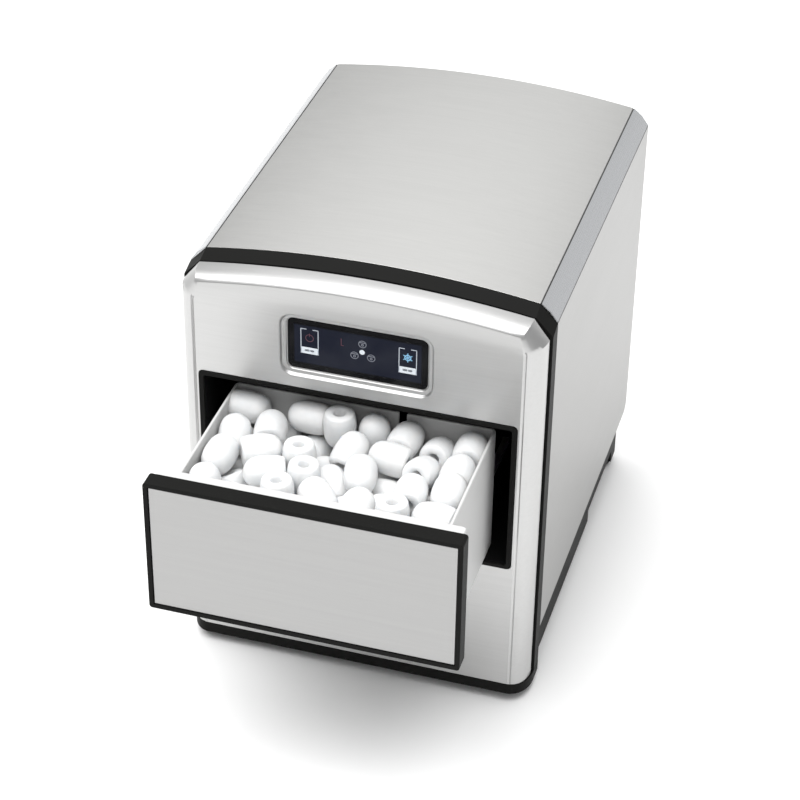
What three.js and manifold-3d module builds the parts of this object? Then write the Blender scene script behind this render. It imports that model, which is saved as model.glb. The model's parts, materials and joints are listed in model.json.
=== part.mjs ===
// Countertop ice maker with a pull-out ice drawer, as an assembly of separate solids.
// Units are millimetres, +Z is up, the front looks along -Y and the drawer stands pulled out.
// The assembly's origin is under the middle of its bounding box, on the plane that the feet stand on.
import * as THREE from "three";
import { mergeVertices } from "three/addons/utils/BufferGeometryUtils.js";
import Module from "manifold-3d";

const wasm = await Module();
wasm.setup();

// ---------------------------------------------------------------------------
// Driving dimensions. Y = 0 is the front edge of the roof, Z = 0 the plane of the feet.
// ---------------------------------------------------------------------------

const GAP = 0.4; // left between pieces that sit against each other
const OVER = 2; // how far a cutting solid reaches past what it cuts

const cabinet = {
  width: 285,
  depth: 318,
  sheet: 1.2,
  cornerWidth: 13.4, // the bevelled long edge, across
  cornerHeight: 14.2, // and down
  cornerBulge: 0.9, // how far the bevel's middle stands proud of a flat one
  crown: 10, // how far the roof bulges above its long edges
  trimThickness: 3,
  flange: 12,
  rearRadius: 10, // at the side panels' lower rear corners
  skirtReveal: 44.9, // from the underside of the base pan up to the side panels
};

const front = {
  footHeight: 8,
  plinthHeight: 9.6, // black strip below the fascia
  sillHeight: 115.3, // fascia bottom to opening
  displayRise: 15.2, // opening to display window
  browHeight: 27.7, // display window to the roof's long edges
  hoopDepth: 14,
  hoopDrop: 3.8, // the hoop's front edge lies this much lower than the roof
  hoopWall: 13,
  fasciaDepth: 23,
  fasciaSheet: 1.5,
  rimWidth: 16.5, // rolled side rim, across
  rimDrop: 6, // rolled top rim, down
  rimShoulder: 6, // the rim's straight side ends this much below the roof's bevel
  rimCorner: 7, // and its crowned top ends this much inside the side crease
  sideMargin: 17.5, // cabinet side to opening
};

const surround = { ring: 3.8, sill: 3, proud: 0.8, cornerRadius: 4 };

const display = {
  width: 108,
  height: 42.8,
  glass: 2.4,
  radius: 5,
  dishWidth: 6.5,
  dishDepth: 4.5,
  housing: { depth: 11, margin: 3, wall: 1.6, face: 2, bezel: 7 },
  chips: [
    { x: 0, z: 1, width: 28, height: 14, deep: 5 },
    { x: -38, z: -4, width: 8, height: 12, deep: 4 },
    { x: 37, z: 0, width: 14, height: 8, deep: 6 },
  ],
};

const drawer = {
  travel: 129,
  sideClearance: 1,
  bottomClearance: 0.7,
  frontHeight: 115,
  fingerGap: 10.7, // over the drawer front, where fingers pull it open
  frameDepth: 13.5,
  border: 3.6,
  skin: 1.2,
  skinRecess: 0.8,
  frameBack: 3,
  corner: 2.5,
  innerPanel: 10,
  innerCorner: 3,
  innerInset: 4,
  innerDrop: 2, // the white panel's top below the frame's top
};

const bin = {
  sideGap: 16.3, // from the drawer front's side to the bin
  length: 128.6,
  wall: 2.3,
  rimDrop: 7.5, // rim below the drawer front's top
  skirt: 1, // the bin's lower edge above the drawer front's
  floorRise: 5.5, // floor above the bin's lower edge
  radius: 4,
  slotWidth: 5.8,
  slotDepth: 15,
  slotX: 30.7,
};

const runner = { x: 80, width: 6, height: 4.3, play: 0.6, railWall: 1.8, frontStop: 1, rearStop: 3 };

const liner = {
  wall: 2,
  rearClearance: 8,
  entryMargin: 2.4, // the ice entry is this much wider than the ramp on each side
  entryDepth: 38,
  drainRadius: 7,
  drainFromRear: 60,
};

const pan = {
  inset: 5.5,
  wall: 3,
  radius: 8,
  tubFront: 6, // how far the tub reaches in front of the roof's edge
  holdDepth: 32,
  holdLength: 92,
  holdHeight: 12,
  holdFromRear: 24,
};

const foot = {
  radius: 13,
  bevel: 1,
  socket: 5,
  frontFromSide: 26,
  frontFromEdge: 20,
  rearFromSide: 20,
  rearFromEdge: 14,
};

const screw = {
  shank: 1.8,
  head: 4,
  headHeight: 1.6,
  length: 8,
  slotLength: 5.2,
  slotWidth: 1,
  slotDepth: 0.7,
  fromSkirt: 22, // the lower screws above the side panels' lower edge
  fromShoulder: 30, // the upper ones below the bevel
};

const vent = { height: 4.4, pitch: 10.5, bridge: 6, rise: 6, leftInset: 24 };

const gland = { radius: 8, collar: 3, bore: 3.6, inside: 9, outside: 4, fromSide: 30, fromSkirt: 30 };

const tray = {
  length: 120,
  width: 54,
  depth: 28,
  wall: 2,
  pivotRadius: 3.6,
  pivotPlay: 0.6,
  pivotSetback: 2, // the pins behind the trough
  fromFront: 12,
  swingClearance: 18, // under the trough, above the pusher
  pinGrip: 8, // how far the driven pin reaches into the gear motor
  pinProud: 2, // and the free pin past the chamber's side
  slope: 10, // the bevel at the trough's foot
  lugReach: 14,
  lugProud: 4,
};

const evaporator = {
  plate: 4,
  fingerRadius: 4.5,
  fingerLength: 44,
  fingerPitch: 24,
  rowPitch: 22,
  tubeRadius: 3.6,
  tipClearance: 6,
  plateInset: 2,
  plateDepth: 22, // of the plate on each side of the rows' middle
  coilInset: 8,
};

const chamber = { side: 3, floor: 2, sideClearance: 12, overBin: 4.5, rearClearance: 6 };

const pusher = {
  stroke: 60,
  height: 16,
  thickness: 4,
  restFromFront: 28,
  lugHeight: 6,
  lugRise: 5,
  lugProud: 3,
  notchWidth: 10,
  notchRise: 11,
};

const gearMotor = {
  radius: 17,
  length: 22,
  gap: 3,
  drop: 4,
  plateHalf: 22,
  plateThickness: 5,
  plateHeight: 16,
};

const tank = {
  wall: 2.5,
  height: 70,
  sideClearance: 12,
  frontClearance: 5,
  rearClearance: 4,
  stemRadius: 3,
  stemFromWalls: 30,
  stemDrop: 8,
};

const pump = {
  radius: 16,
  height: 34,
  fromSide: 40,
  fromTank: 24,
  rise: 2,
  inletRadius: 5,
  inletRise: 8,
  outletRadius: 4,
  outletHeight: 10,
};

const hose = { radius: 3.4, fromChamber: 14, overTray: 8 };

const float = { radius: 12, height: 14, play: 0.8 };

const compressor = {
  radius: 46,
  height: 112,
  mountHeight: 12,
  mountRadius: 9,
  mountInset: 12,
  fromRear: 14,
  fromHold: 1,
  coverHeight: 32,
  coverWidth: 28,
  coverRise: 40,
  coverProud: 5,
};

const condenser = {
  thickness: 24,
  height: 130,
  fins: 10,
  finThickness: 1.6,
  rows: 3,
  tubeRadius: 3.5,
  fromRear: 7,
  sideClearance: 12,
  rise: 6,
};

const fan = {
  clearance: 3,
  ringDepth: 22,
  ringWall: 2,
  armWidth: 6,
  armThickness: 3,
  bladeStart: 5,
  bladeDepth: 12,
  bladeWidth: 22,
  bladePitch: 0.5, // radians
  bladeThickness: 1.6,
  blades: 5,
  hubRadius: 13,
  hubGrip: 4, // how far a blade's root reaches into the hub
  motorRadius: 17,
  motorLength: 21,
  shaftRadius: 2.5,
  boreRadius: 2.9,
  shaftLength: 12,
};

const drain = {
  boreRadius: 5,
  wall: 1.8,
  fromCompressor: 34,
  rise: 12,
  inside: 22,
  proud: 2,
  capFlange: 4,
  capLip: 1.5,
  stemLength: 12,
  play: 0.4,
};

const drier = {
  radius: 8,
  neck: 2.6,
  length: 72,
  taper: 6,
  neckLength: 8,
  fromMotor: 30,
  offset: 16,
  rise: 62,
};

const pipe = { radius: 3, capillaryRadius: 1.2, aboveCompressor: 26, laneFromChamber: 36 };

const valve = { radius: 5, halfLength: 18, coil: 20, coilHeight: 26, rise: 44, offset: 10, setback: 8 };

const board = {
  thickness: 1.6,
  fromSide: 16,
  fromChamber: 20,
  drop: 16,
  length: 96,
  height: 76,
  parts: [
    { y: 8, z: 12, width: 30, height: 24, deep: 20 },
    { y: 50, z: 12, width: 22, height: 16, deep: 16 },
    { y: 78, z: 14, width: 12, height: 12, deep: 14 },
    { y: 10, z: 46, width: 14, height: 18, deep: 12 },
    { y: 34, z: 48, width: 20, height: 14, deep: 10 },
    { y: 64, z: 46, width: 22, height: 20, deep: 12 },
  ],
};

const sensor = { depth: 6, width: 16, height: 16, fromRear: 26, aboveBin: 6, eyeRadius: 2.6, eyeProud: 1.5 };

// ---------------------------------------------------------------------------
// Derived places, shared by the pieces that meet there
// ---------------------------------------------------------------------------

const half = cabinet.width / 2;
const panBottom = front.footHeight;
const fasciaBottom = panBottom + front.plinthHeight + GAP;
const openingBottom = fasciaBottom + front.sillHeight;
const linerFloor = openingBottom + GAP + surround.sill;
const drawerBottom = linerFloor + drawer.bottomClearance;
const drawerTop = drawerBottom + drawer.frontHeight;
const linerCeiling = drawerTop + drawer.fingerGap;
const openingTop = linerCeiling + surround.ring + GAP;
const displayBottom = openingTop + front.displayRise;
const displayMiddle = displayBottom + display.height / 2;
const roofEdge = displayBottom + display.height + front.browHeight;
const shoulder = roofEdge - cabinet.cornerHeight;
const sideBottom = panBottom + cabinet.skirtReveal;
const hoopFront = -front.hoopDepth;
const fasciaFace = hoopFront - front.fasciaDepth;
const fasciaBack = fasciaFace + front.fasciaSheet;
const rear = cabinet.depth;
const rearPanelFront = rear - cabinet.sheet;
const openingHalf = half - front.sideMargin;

const linerHalf = openingHalf - GAP - surround.ring;
const drawerHalf = linerHalf - drawer.sideClearance;
const drawerFace = fasciaFace - drawer.travel;
const innerPanelFront = drawerFace + drawer.frameDepth + GAP;
const binFront = innerPanelFront + drawer.innerPanel + GAP;
const binRear = binFront + bin.length;
const binHalf = drawerHalf - bin.sideGap;
const binRim = drawerTop - bin.rimDrop;
const binBottom = drawerBottom + bin.skirt;
const binFloor = binBottom + bin.floorRise;
const linerRear = binRear + drawer.travel + liner.rearClearance;

const panHalf = half - pan.inset;
const panRear = rear - GAP;
const panTop = sideBottom - GAP;
const panFloor = panBottom + pan.wall;

// The ice chamber stands behind the liner, over the machine room.
const entrySill = binRim + chamber.overBin;
const chamberFront = linerRear + liner.wall + GAP;
const chamberFloor = entrySill + GAP + chamber.floor;
const pusherRest = chamberFront + pusher.restFromFront;
const pusherEnd = pusherRest + pusher.stroke + pusher.thickness;
const trayBottom = chamberFloor + pusher.height + tray.swingClearance;
const trayRim = trayBottom + tray.depth;
const trayFront = chamberFront + tray.fromFront;
const trayMiddle = trayFront + tray.width / 2;
const pivotY = trayFront + tray.width + tray.pivotSetback;
const pivotZ = trayRim;
const chamberRear = pusherEnd + chamber.rearClearance;
const chamberHalf = tray.length / 2 + chamber.sideClearance;
const chamberInside = chamberHalf - chamber.side;
const rampHalf = chamberInside - GAP;
const fingerTip = trayBottom + tray.wall + evaporator.tipClearance;
const plateBottom = fingerTip + evaporator.fingerLength;
const plateTop = plateBottom + evaporator.plate;
const coilZ = plateTop + GAP + evaporator.tubeRadius;
const coilReach = tray.length / 2 - evaporator.coilInset;
const motorFace = -chamberHalf - gearMotor.gap;

// The machine room holds the compressor on the left and the condenser on the right.
const compressorX = -(panHalf - pan.holdDepth - compressor.fromHold - compressor.radius);
const compressorY = panRear - pan.wall - compressor.fromRear - compressor.radius;
const compressorBottom = panFloor + compressor.mountHeight + 2 * GAP;
const compressorTop = compressorBottom + compressor.height;
const condenserLeft = compressorX + compressor.radius + condenser.sideClearance;
const condenserRight = panHalf - pan.wall - condenser.sideClearance;
const condenserX = (condenserLeft + condenserRight) / 2;
const condenserBottom = panTop + condenser.rise;
const condenserTop = condenserBottom + condenser.height;
const condenserZ = (condenserBottom + condenserTop) / 2;
const condenserRear = rearPanelFront - condenser.fromRear;
const condenserFront = condenserRear - condenser.thickness;
const condenserY = (condenserFront + condenserRear) / 2;
const shroudRear = condenserFront - GAP;
const ringFront = shroudRear - fan.ringDepth;
const fanOpening = Math.min(condenserRight - condenserLeft, condenser.height) / 2 - 2 * fan.ringWall;
const fanRadius = fanOpening - fan.clearance;

const screwHeights = [sideBottom + screw.fromSkirt, shoulder - screw.fromShoulder];
const screwX = half - cabinet.flange / 2 - 1;
const glandX = -(half - gland.fromSide);
const glandZ = sideBottom + gland.fromSkirt;
const drainX = compressorX - drain.fromCompressor;
const drainZ = panFloor + drain.rise;
const displayBack = fasciaFace + display.dishDepth;
const railTop = binFloor - GAP;
const railGroove = linerFloor + GAP + runner.height + runner.play;

const tankFront = fasciaBack + tank.frontClearance;
const tankRear = linerRear - tank.rearClearance;
const tankBottom = panTop + tank.rearClearance;
const tankHalf = openingHalf - tank.sideClearance;
const floatX = tankHalf - tank.stemFromWalls;
const floatY = tankRear - tank.stemFromWalls;
const pumpX = tankHalf - pump.fromSide;
const pumpY = tankRear + GAP + pump.fromTank;
const pumpBottom = tankBottom + pump.rise;
const pumpTop = pumpBottom + pump.height + pump.outletHeight;

const footPlaces = [-1, 1].flatMap((sign) => {
  const side = sign < 0 ? "left" : "right";
  return [
    [`foot_front_${side}`, sign * (half - foot.frontFromSide), foot.frontFromEdge],
    [`foot_rear_${side}`, sign * (half - foot.rearFromSide), rear - foot.rearFromEdge],
  ];
});

const mountPlaces = [0, 1, 2].map((i) => {
  const turn = (i * 2 * Math.PI) / 3 + Math.PI / 6;
  const reach = compressor.radius - compressor.mountInset;
  return [compressorX + reach * Math.cos(turn), compressorY + reach * Math.sin(turn)];
});

// ---------------------------------------------------------------------------
// Materials
// ---------------------------------------------------------------------------

function paint(color, roughness, metalness) {
  return () => new THREE.MeshStandardMaterial({ color, roughness, metalness });
}

const steel = paint(0xc8c9c7, 0.32, 1);
const brightTrim = paint(0xd2d4d6, 0.22, 1);
const blackPlastic = paint(0x1c1c1d, 0.5, 0);
const cavityBlack = paint(0x0b0b0c, 0.6, 0);
const whitePlastic = paint(0xe6e7e6, 0.45, 0);
const greyPlastic = paint(0xb9bcbd, 0.45, 0);
const rubber = paint(0x151515, 0.85, 0);
const blackGlass = paint(0x0c0d11, 0.08, 0);
const copper = paint(0xb4683a, 0.35, 1);
const aluminium = paint(0xb5b8ba, 0.4, 1);
const enamel = paint(0x17181a, 0.4, 0.2);
const circuitGreen = paint(0x1d5a38, 0.5, 0);
const zinc = paint(0xa6a8a9, 0.4, 1);

// ---------------------------------------------------------------------------
// Shape helpers
// ---------------------------------------------------------------------------

function solid(geometry) {
  const bare = geometry.clone();
  bare.deleteAttribute("normal");
  bare.deleteAttribute("uv");
  const merged = mergeVertices(bare, 1e-4);
  return new wasm.Manifold(
    new wasm.Mesh({
      numProp: 3,
      vertProperties: new Float32Array(merged.attributes.position.array),
      triVerts: new Uint32Array(merged.index.array),
    }),
  );
}

function join(...solids) {
  return solids.reduce((sum, next) => sum.add(next));
}

function cut(base, ...tools) {
  return tools.reduce((rest, tool) => rest.subtract(tool), base);
}

function node(name, body, material) {
  const mesh = body.getMesh();
  const geometry = new THREE.BufferGeometry();
  geometry.setAttribute("position", new THREE.BufferAttribute(Float32Array.from(mesh.vertProperties), 3));
  geometry.setIndex(new THREE.BufferAttribute(Uint32Array.from(mesh.triVerts), 1));
  geometry.computeVertexNormals();
  const part = new THREE.Mesh(geometry, material());
  part.name = name;
  return part;
}

function group(...parts) {
  const holder = new THREE.Group();
  holder.add(...parts);
  return holder;
}

function block(x0, x1, y0, y1, z0, z1) {
  const geometry = new THREE.BoxGeometry(x1 - x0, y1 - y0, z1 - z0);
  geometry.translate((x0 + x1) / 2, (y0 + y1) / 2, (z0 + z1) / 2);
  return solid(geometry);
}

// An outline drawn in X and Z, extruded from y0 to y1.
function extrudeY(shape, y0, y1, options = {}) {
  const geometry = new THREE.ExtrudeGeometry(shape, { depth: y1 - y0, bevelEnabled: false, ...options });
  geometry.rotateX(Math.PI / 2);
  geometry.translate(0, y1, 0);
  return solid(geometry);
}

// An outline drawn in X and Y, extruded from z0 to z1.
function extrudeZ(shape, z0, z1) {
  const options = { depth: z1 - z0, bevelEnabled: false, curveSegments: 6 };
  const geometry = new THREE.ExtrudeGeometry(shape, options);
  geometry.translate(0, 0, z0);
  return solid(geometry);
}

// An outline drawn in Y and Z, extruded from x0 to x1.
function extrudeX(shape, x0, x1) {
  const options = { depth: x1 - x0, bevelEnabled: false, curveSegments: 6 };
  const geometry = new THREE.ExtrudeGeometry(shape, options);
  const alongX = new THREE.Vector3(1, 0, 0);
  const alongY = new THREE.Vector3(0, 1, 0);
  const alongZ = new THREE.Vector3(0, 0, 1);
  geometry.applyMatrix4(new THREE.Matrix4().makeBasis(alongY, alongZ, alongX));
  geometry.translate(x0, 0, 0);
  return solid(geometry);
}

function rodX(radius, x0, x1, y, z, sides = 24) {
  const geometry = new THREE.CylinderGeometry(radius, radius, x1 - x0, sides);
  geometry.rotateZ(Math.PI / 2);
  geometry.translate((x0 + x1) / 2, y, z);
  return solid(geometry);
}

function rodY(radius, x, y0, y1, z, sides = 24) {
  const geometry = new THREE.CylinderGeometry(radius, radius, y1 - y0, sides);
  geometry.translate(x, (y0 + y1) / 2, z);
  return solid(geometry);
}

function rodZ(radius, x, y, z0, z1, sides = 24) {
  const geometry = new THREE.CylinderGeometry(radius, radius, z1 - z0, sides);
  geometry.rotateX(Math.PI / 2);
  geometry.translate(x, y, (z0 + z1) / 2);
  return solid(geometry);
}

// A body of revolution about a vertical axis. The profile is [radius, height] pairs, axis to axis.
function turned(profile, x, y, z, sides = 32) {
  const geometry = new THREE.LatheGeometry(
    profile.map(([radius, height]) => new THREE.Vector2(radius, height)),
    sides,
  );
  geometry.rotateX(Math.PI / 2);
  geometry.translate(x, y, z);
  return solid(geometry);
}

function both(right) {
  return join(right, right.mirror([1, 0, 0]));
}

function polygon(points) {
  return new THREE.Shape(points.map(([u, v]) => new THREE.Vector2(u, v)));
}

function roundedRect(u0, u1, v0, v1, radius) {
  const shape = new THREE.Shape();
  shape.moveTo(u0 + radius, v0);
  shape.lineTo(u1 - radius, v0);
  shape.absarc(u1 - radius, v0 + radius, radius, -Math.PI / 2, 0);
  shape.lineTo(u1, v1 - radius);
  shape.absarc(u1 - radius, v1 - radius, radius, 0, Math.PI / 2);
  shape.lineTo(u0 + radius, v1);
  shape.absarc(u0 + radius, v1 - radius, radius, Math.PI / 2, Math.PI);
  shape.lineTo(u0, v0 + radius);
  shape.absarc(u0 + radius, v0 + radius, radius, Math.PI, Math.PI * 1.5);
  return shape;
}

function tube(points, radius, steps, sides = 8) {
  const section = new THREE.Shape();
  section.absarc(0, 0, radius, 0, Math.PI * 2);
  const stops = points.map(([x, y, z]) => new THREE.Vector3(x, y, z));
  const path = new THREE.CatmullRomCurve3(stops, false, "centripetal");
  const options = { extrudePath: path, steps, curveSegments: sides / 2 };
  return solid(new THREE.ExtrudeGeometry(section, options));
}

// The height of the crowned roof line over its long edges, at a distance x from the middle.
function crownAt(x, reach) {
  return cabinet.crown * (1 - (x / reach) ** 2);
}

// The cabinet's cross-section: upright sides, bevelled shoulders and a crowned top, inset from the skin.
function section(inset, bottom, topInset = inset) {
  const side = half - inset;
  const reach = side - cabinet.cornerWidth;
  const edge = roofEdge - topInset;
  const points = [
    [-side, bottom],
    [side, bottom],
    [side, edge - cabinet.cornerHeight],
  ];
  const steps = 16;
  for (let i = 0; i <= steps; i++) {
    const x = reach * (1 - (2 * i) / steps);
    points.push([x, edge + crownAt(x, reach)]);
  }
  points.push([-side, edge - cabinet.cornerHeight]);
  return polygon(points);
}

// ---------------------------------------------------------------------------
// Cabinet shells
// ---------------------------------------------------------------------------

function roofPanel() {
  const reach = half - cabinet.cornerWidth - GAP;
  const steps = 20;
  const upper = [];
  const lower = [];
  for (let i = 0; i <= steps; i++) {
    const x = reach * (1 - (2 * i) / steps);
    const z = roofEdge + crownAt(x, reach + GAP);
    upper.push([x, z]);
    lower.unshift([x, z - cabinet.sheet]);
  }
  return node("roof_panel", extrudeY(polygon([...upper, ...lower]), 0, rear), steel);
}

function cornerTrim(name, sign) {
  const outer = half;
  const inner = half - cabinet.cornerWidth + GAP;
  const points = [
    [outer, shoulder + GAP],
    [(outer + inner) / 2 + cabinet.cornerBulge, (shoulder + roofEdge) / 2 + cabinet.cornerBulge],
    [inner, roofEdge],
    [inner, roofEdge - cabinet.trimThickness],
    [outer - cabinet.trimThickness, shoulder + GAP],
  ];
  const strip = extrudeY(polygon(points), 0, rear);
  return node(name, sign > 0 ? strip : strip.mirror([1, 0, 0]), brightTrim);
}

// Holes for the screws that hold the rear panel to the flanges of the side panels.
function screwHoles(sign) {
  const holes = screwHeights.map((z) => {
    return rodY(screw.shank + GAP, screwX, rear - screw.length, rear + OVER, z, 12);
  });
  return sign > 0 ? holes : holes.map((hole) => hole.mirror([1, 0, 0]));
}

function sidePanel(name, sign) {
  const radius = cabinet.rearRadius;
  const outline = new THREE.Shape();
  outline.moveTo(0, sideBottom);
  outline.lineTo(rear - radius, sideBottom);
  outline.absarc(rear - radius, sideBottom + radius, radius, -Math.PI / 2, 0);
  outline.lineTo(rear, shoulder);
  outline.lineTo(0, shoulder);
  const skin = extrudeX(outline, half - cabinet.sheet, half);
  const inner = half - cabinet.flange;
  const outer = half - cabinet.sheet / 2;
  const shelfRear = rear - radius - cabinet.sheet;
  const shelf = block(inner, outer, 0, shelfRear, sideBottom, sideBottom + cabinet.sheet);
  const flangeRear = rearPanelFront - GAP;
  const flangeTop = shoulder - GAP - cabinet.trimThickness;
  const flangeFront = flangeRear - cabinet.sheet;
  const flange = block(inner, outer, flangeFront, flangeRear, sideBottom + radius, flangeTop);
  const panel = cut(join(skin, shelf, flange), ...screwHoles(1));
  return node(name, sign > 0 ? panel : panel.mirror([1, 0, 0]), steel);
}

function rearScrews() {
  const places = [-1, 1].flatMap((sign) => screwHeights.map((z) => [sign * screwX, z]));
  const headFront = rear + GAP;
  const headRear = headFront + screw.headHeight;
  const reach = screw.slotLength / 2;
  const rise = screw.slotWidth / 2;
  return places.map(([x, z], i) => {
    const head = rodY(screw.head, x, headFront, headRear, z, 16);
    const shank = rodY(screw.shank, x, rear - screw.length, headFront + screw.headHeight / 2, z, 12);
    const slot = block(x - reach, x + reach, headRear - screw.slotDepth, headRear + OVER, z - rise, z + rise);
    return node(`rear_screw_${i + 1}`, cut(join(head, shank), slot), zinc);
  });
}

// Rows of louvre slots behind the condenser, and a smaller field for the warm air on the left.
function ventSlots() {
  const slots = [];
  const { height, pitch, bridge } = vent;
  const fields = [
    { x0: condenserLeft, x1: condenserRight, z0: condenserBottom + vent.rise },
    { x0: -condenserRight, x1: -condenserLeft - vent.leftInset, z0: condenserZ },
  ];
  for (const { x0, x1, z0 } of fields) {
    const middle = (x0 + x1) / 2;
    const halves = [[x0, middle - bridge / 2], [middle + bridge / 2, x1]];
    for (let z = z0; z + height < condenserTop; z += pitch) {
      for (const [u0, u1] of halves) {
        const outline = roundedRect(u0, u1, z, z + height, height / 2 - 0.01);
        slots.push(extrudeY(outline, rearPanelFront - OVER, rear + OVER, { curveSegments: 1 }));
      }
    }
  }
  return slots;
}

function rearPanel() {
  const inset = cabinet.sheet + GAP;
  const topInset = cabinet.trimThickness + cabinet.sheet + 2 * GAP;
  const plate = extrudeY(section(inset, sideBottom + inset, topInset), rearPanelFront, rear);
  const glandHole = rodY(gland.radius + GAP, glandX, rearPanelFront - OVER, rear + OVER, glandZ);
  const holes = [...screwHoles(-1), ...screwHoles(1), glandHole, ...ventSlots()];
  return node("rear_panel", cut(plate, ...holes), steel);
}

function frontHoop() {
  const options = { depth: front.hoopDepth - GAP, bevelEnabled: false };
  const geometry = new THREE.ExtrudeGeometry(section(0, fasciaBottom), options);
  geometry.rotateX(Math.PI / 2);
  geometry.translate(0, -GAP, 0);
  const place = geometry.attributes.position;
  for (let i = 0; i < place.count; i++) {
    const slope = place.getZ(i) > shoulder - 1 ? front.hoopDrop : 0;
    place.setZ(i, place.getZ(i) + (slope * place.getY(i)) / front.hoopDepth);
  }
  const inner = half - front.hoopWall;
  const window = block(-inner, inner, hoopFront - OVER, OVER, fasciaBottom + front.hoopWall, shoulder - OVER);
  return node("front_hoop", cut(solid(geometry), window), blackPlastic);
}

// The plinth's plan outline: straight in front, and rolled back at both sides as the fascia is.
function rolledFront(back) {
  const crease = half - front.rimWidth;
  const points = [[half, back]];
  const steps = 8;
  for (let i = 0; i <= steps; i++) {
    const turn = (i / steps) * (Math.PI / 2);
    const depth = (front.fasciaDepth - GAP) * Math.sin(turn);
    points.push([crease + front.rimWidth * Math.cos(turn), hoopFront - GAP - depth]);
  }
  return [...points, ...points.map(([x, y]) => [-x, y]).reverse()];
}

// The fascia's bulging outer form: a straight-sided outline whose edge rolls back at the sides and top.
function fasciaForm(inset) {
  const stretch = front.rimWidth / front.rimDrop; // makes the roll equally wide while it is extruded
  const side = half - front.rimWidth;
  const top = roofEdge - front.hoopDrop - front.rimDrop;
  const sideTop = top - cabinet.cornerHeight - front.rimShoulder;
  const below = fasciaBottom - 2 * front.rimWidth;
  const outline = [[side, below], [side, sideTop]];
  const reach = side - front.rimCorner;
  const steps = 14;
  for (let i = 0; i <= steps; i++) {
    const x = reach * (1 - (2 * i) / steps);
    outline.push([x, top + crownAt(x, reach + front.rimCorner / 2)]);
  }
  outline.push([-side, sideTop], [-side, below]);
  const geometry = new THREE.ExtrudeGeometry(polygon(outline.map(([x, z]) => [x, z * stretch])), {
    depth: front.hoopDepth,
    bevelThickness: front.fasciaDepth - GAP - inset,
    bevelSize: front.rimWidth - inset,
    bevelSegments: 6,
  });
  geometry.scale(1, 1 / stretch, 1);
  geometry.rotateX(Math.PI / 2);
  geometry.translate(0, hoopFront - GAP + front.hoopDepth, 0);
  const highest = roofEdge + 2 * cabinet.crown;
  const keep = block(-half - 1, half + 1, fasciaFace - 1, hoopFront - GAP, fasciaBottom, highest);
  return solid(geometry).intersect(keep);
}

function displayOutline(grow) {
  const reach = display.width / 2 + grow;
  const rise = display.height / 2 + grow;
  return roundedRect(-reach, reach, displayMiddle - rise, displayMiddle + rise, display.radius + grow);
}

// The pressed dish around the display, as a solid that stands on the fascia's face and narrows inwards.
function displayDish(grow, deep) {
  const geometry = new THREE.ExtrudeGeometry(displayOutline(grow), {
    depth: 0.02,
    curveSegments: 4,
    bevelThickness: display.dishDepth,
    bevelSize: display.dishWidth,
    bevelSegments: 3,
  });
  geometry.rotateX(Math.PI / 2);
  geometry.translate(0, fasciaFace + deep - display.dishDepth, 0);
  return solid(geometry);
}

function frontFascia() {
  const shell = cut(fasciaForm(0), fasciaForm(front.fasciaSheet).translate([0, front.fasciaSheet, 0]));
  const behindFace = fasciaFace + front.fasciaSheet / 4;
  const skinBehind = block(-half, half, behindFace, 0, fasciaBottom, roofEdge);
  const cup = displayDish(front.fasciaSheet, display.dishDepth + front.fasciaSheet).intersect(skinBehind);
  const hollow = displayDish(0, display.dishDepth);
  const y0 = fasciaFace - OVER;
  const glassHole = extrudeY(displayOutline(GAP), y0, hoopFront, { curveSegments: 4 });
  const { cornerRadius } = surround;
  const outline = roundedRect(-openingHalf, openingHalf, openingBottom, openingTop, cornerRadius);
  const opening = extrudeY(outline, y0, fasciaBack + OVER, { curveSegments: 4 });
  return node("front_fascia", cut(join(shell, cup), hollow, glassHole, opening), steel);
}

function drawerSurround() {
  const { cornerRadius } = surround;
  const reach = openingHalf - GAP;
  const outer = roundedRect(-reach, reach, openingBottom + GAP, openingTop - GAP, cornerRadius);
  const inner = roundedRect(-linerHalf, linerHalf, linerFloor, linerCeiling, cornerRadius / 2);
  const y0 = fasciaFace - surround.proud;
  const ring = extrudeY(outer, y0, fasciaBack, { curveSegments: 4 });
  const hole = extrudeY(inner, y0 - OVER, fasciaBack + OVER, { curveSegments: 4 });
  return node("drawer_surround", cut(ring, hole), blackPlastic);
}

// ---------------------------------------------------------------------------
// Base
// ---------------------------------------------------------------------------

function handHold(grow) {
  const y1 = panRear - pan.holdFromRear + grow;
  const y0 = y1 - pan.holdLength - 2 * grow;
  const reach = panHalf - pan.holdDepth;
  const top = panBottom + pan.holdHeight + grow;
  const outer = grow > 0 ? panHalf : panHalf + OVER;
  const bottom = grow > 0 ? panBottom : panBottom - OVER;
  return both(block(reach - grow, outer, y0, y1, bottom, top));
}

function basePan() {
  const { wall, radius } = pan;
  const lipTop = panBottom + front.plinthHeight;
  const lip = extrudeZ(polygon(rolledFront(-GAP)), panBottom, lipTop);
  const tub = extrudeZ(roundedRect(-panHalf, panHalf, -pan.tubFront, panRear, radius), panBottom, panTop);
  const inside = panHalf - wall;
  const hollow = extrudeZ(
    roundedRect(-inside, inside, wall, panRear - wall, radius - wall), panFloor, panTop + OVER,
  );
  const underHoop = block(-half, half, fasciaFace, 0, lipTop, panTop + OVER);
  const body = cut(join(lip, tub), hollow, underHoop);
  const drainRadius = drain.boreRadius + drain.wall + GAP;
  const drainHole = rodY(drainRadius, drainX, panRear - wall - OVER, panRear + OVER, drainZ);
  const sockets = footPlaces.map(([, x, y]) => {
    return rodZ(foot.socket + GAP, x, y, panBottom - OVER, panFloor + OVER, 16);
  });
  const cuts = [handHold(0), drainHole, ...sockets];
  return node("base_pan", cut(join(body, handHold(wall)), ...cuts), blackPlastic);
}

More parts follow.
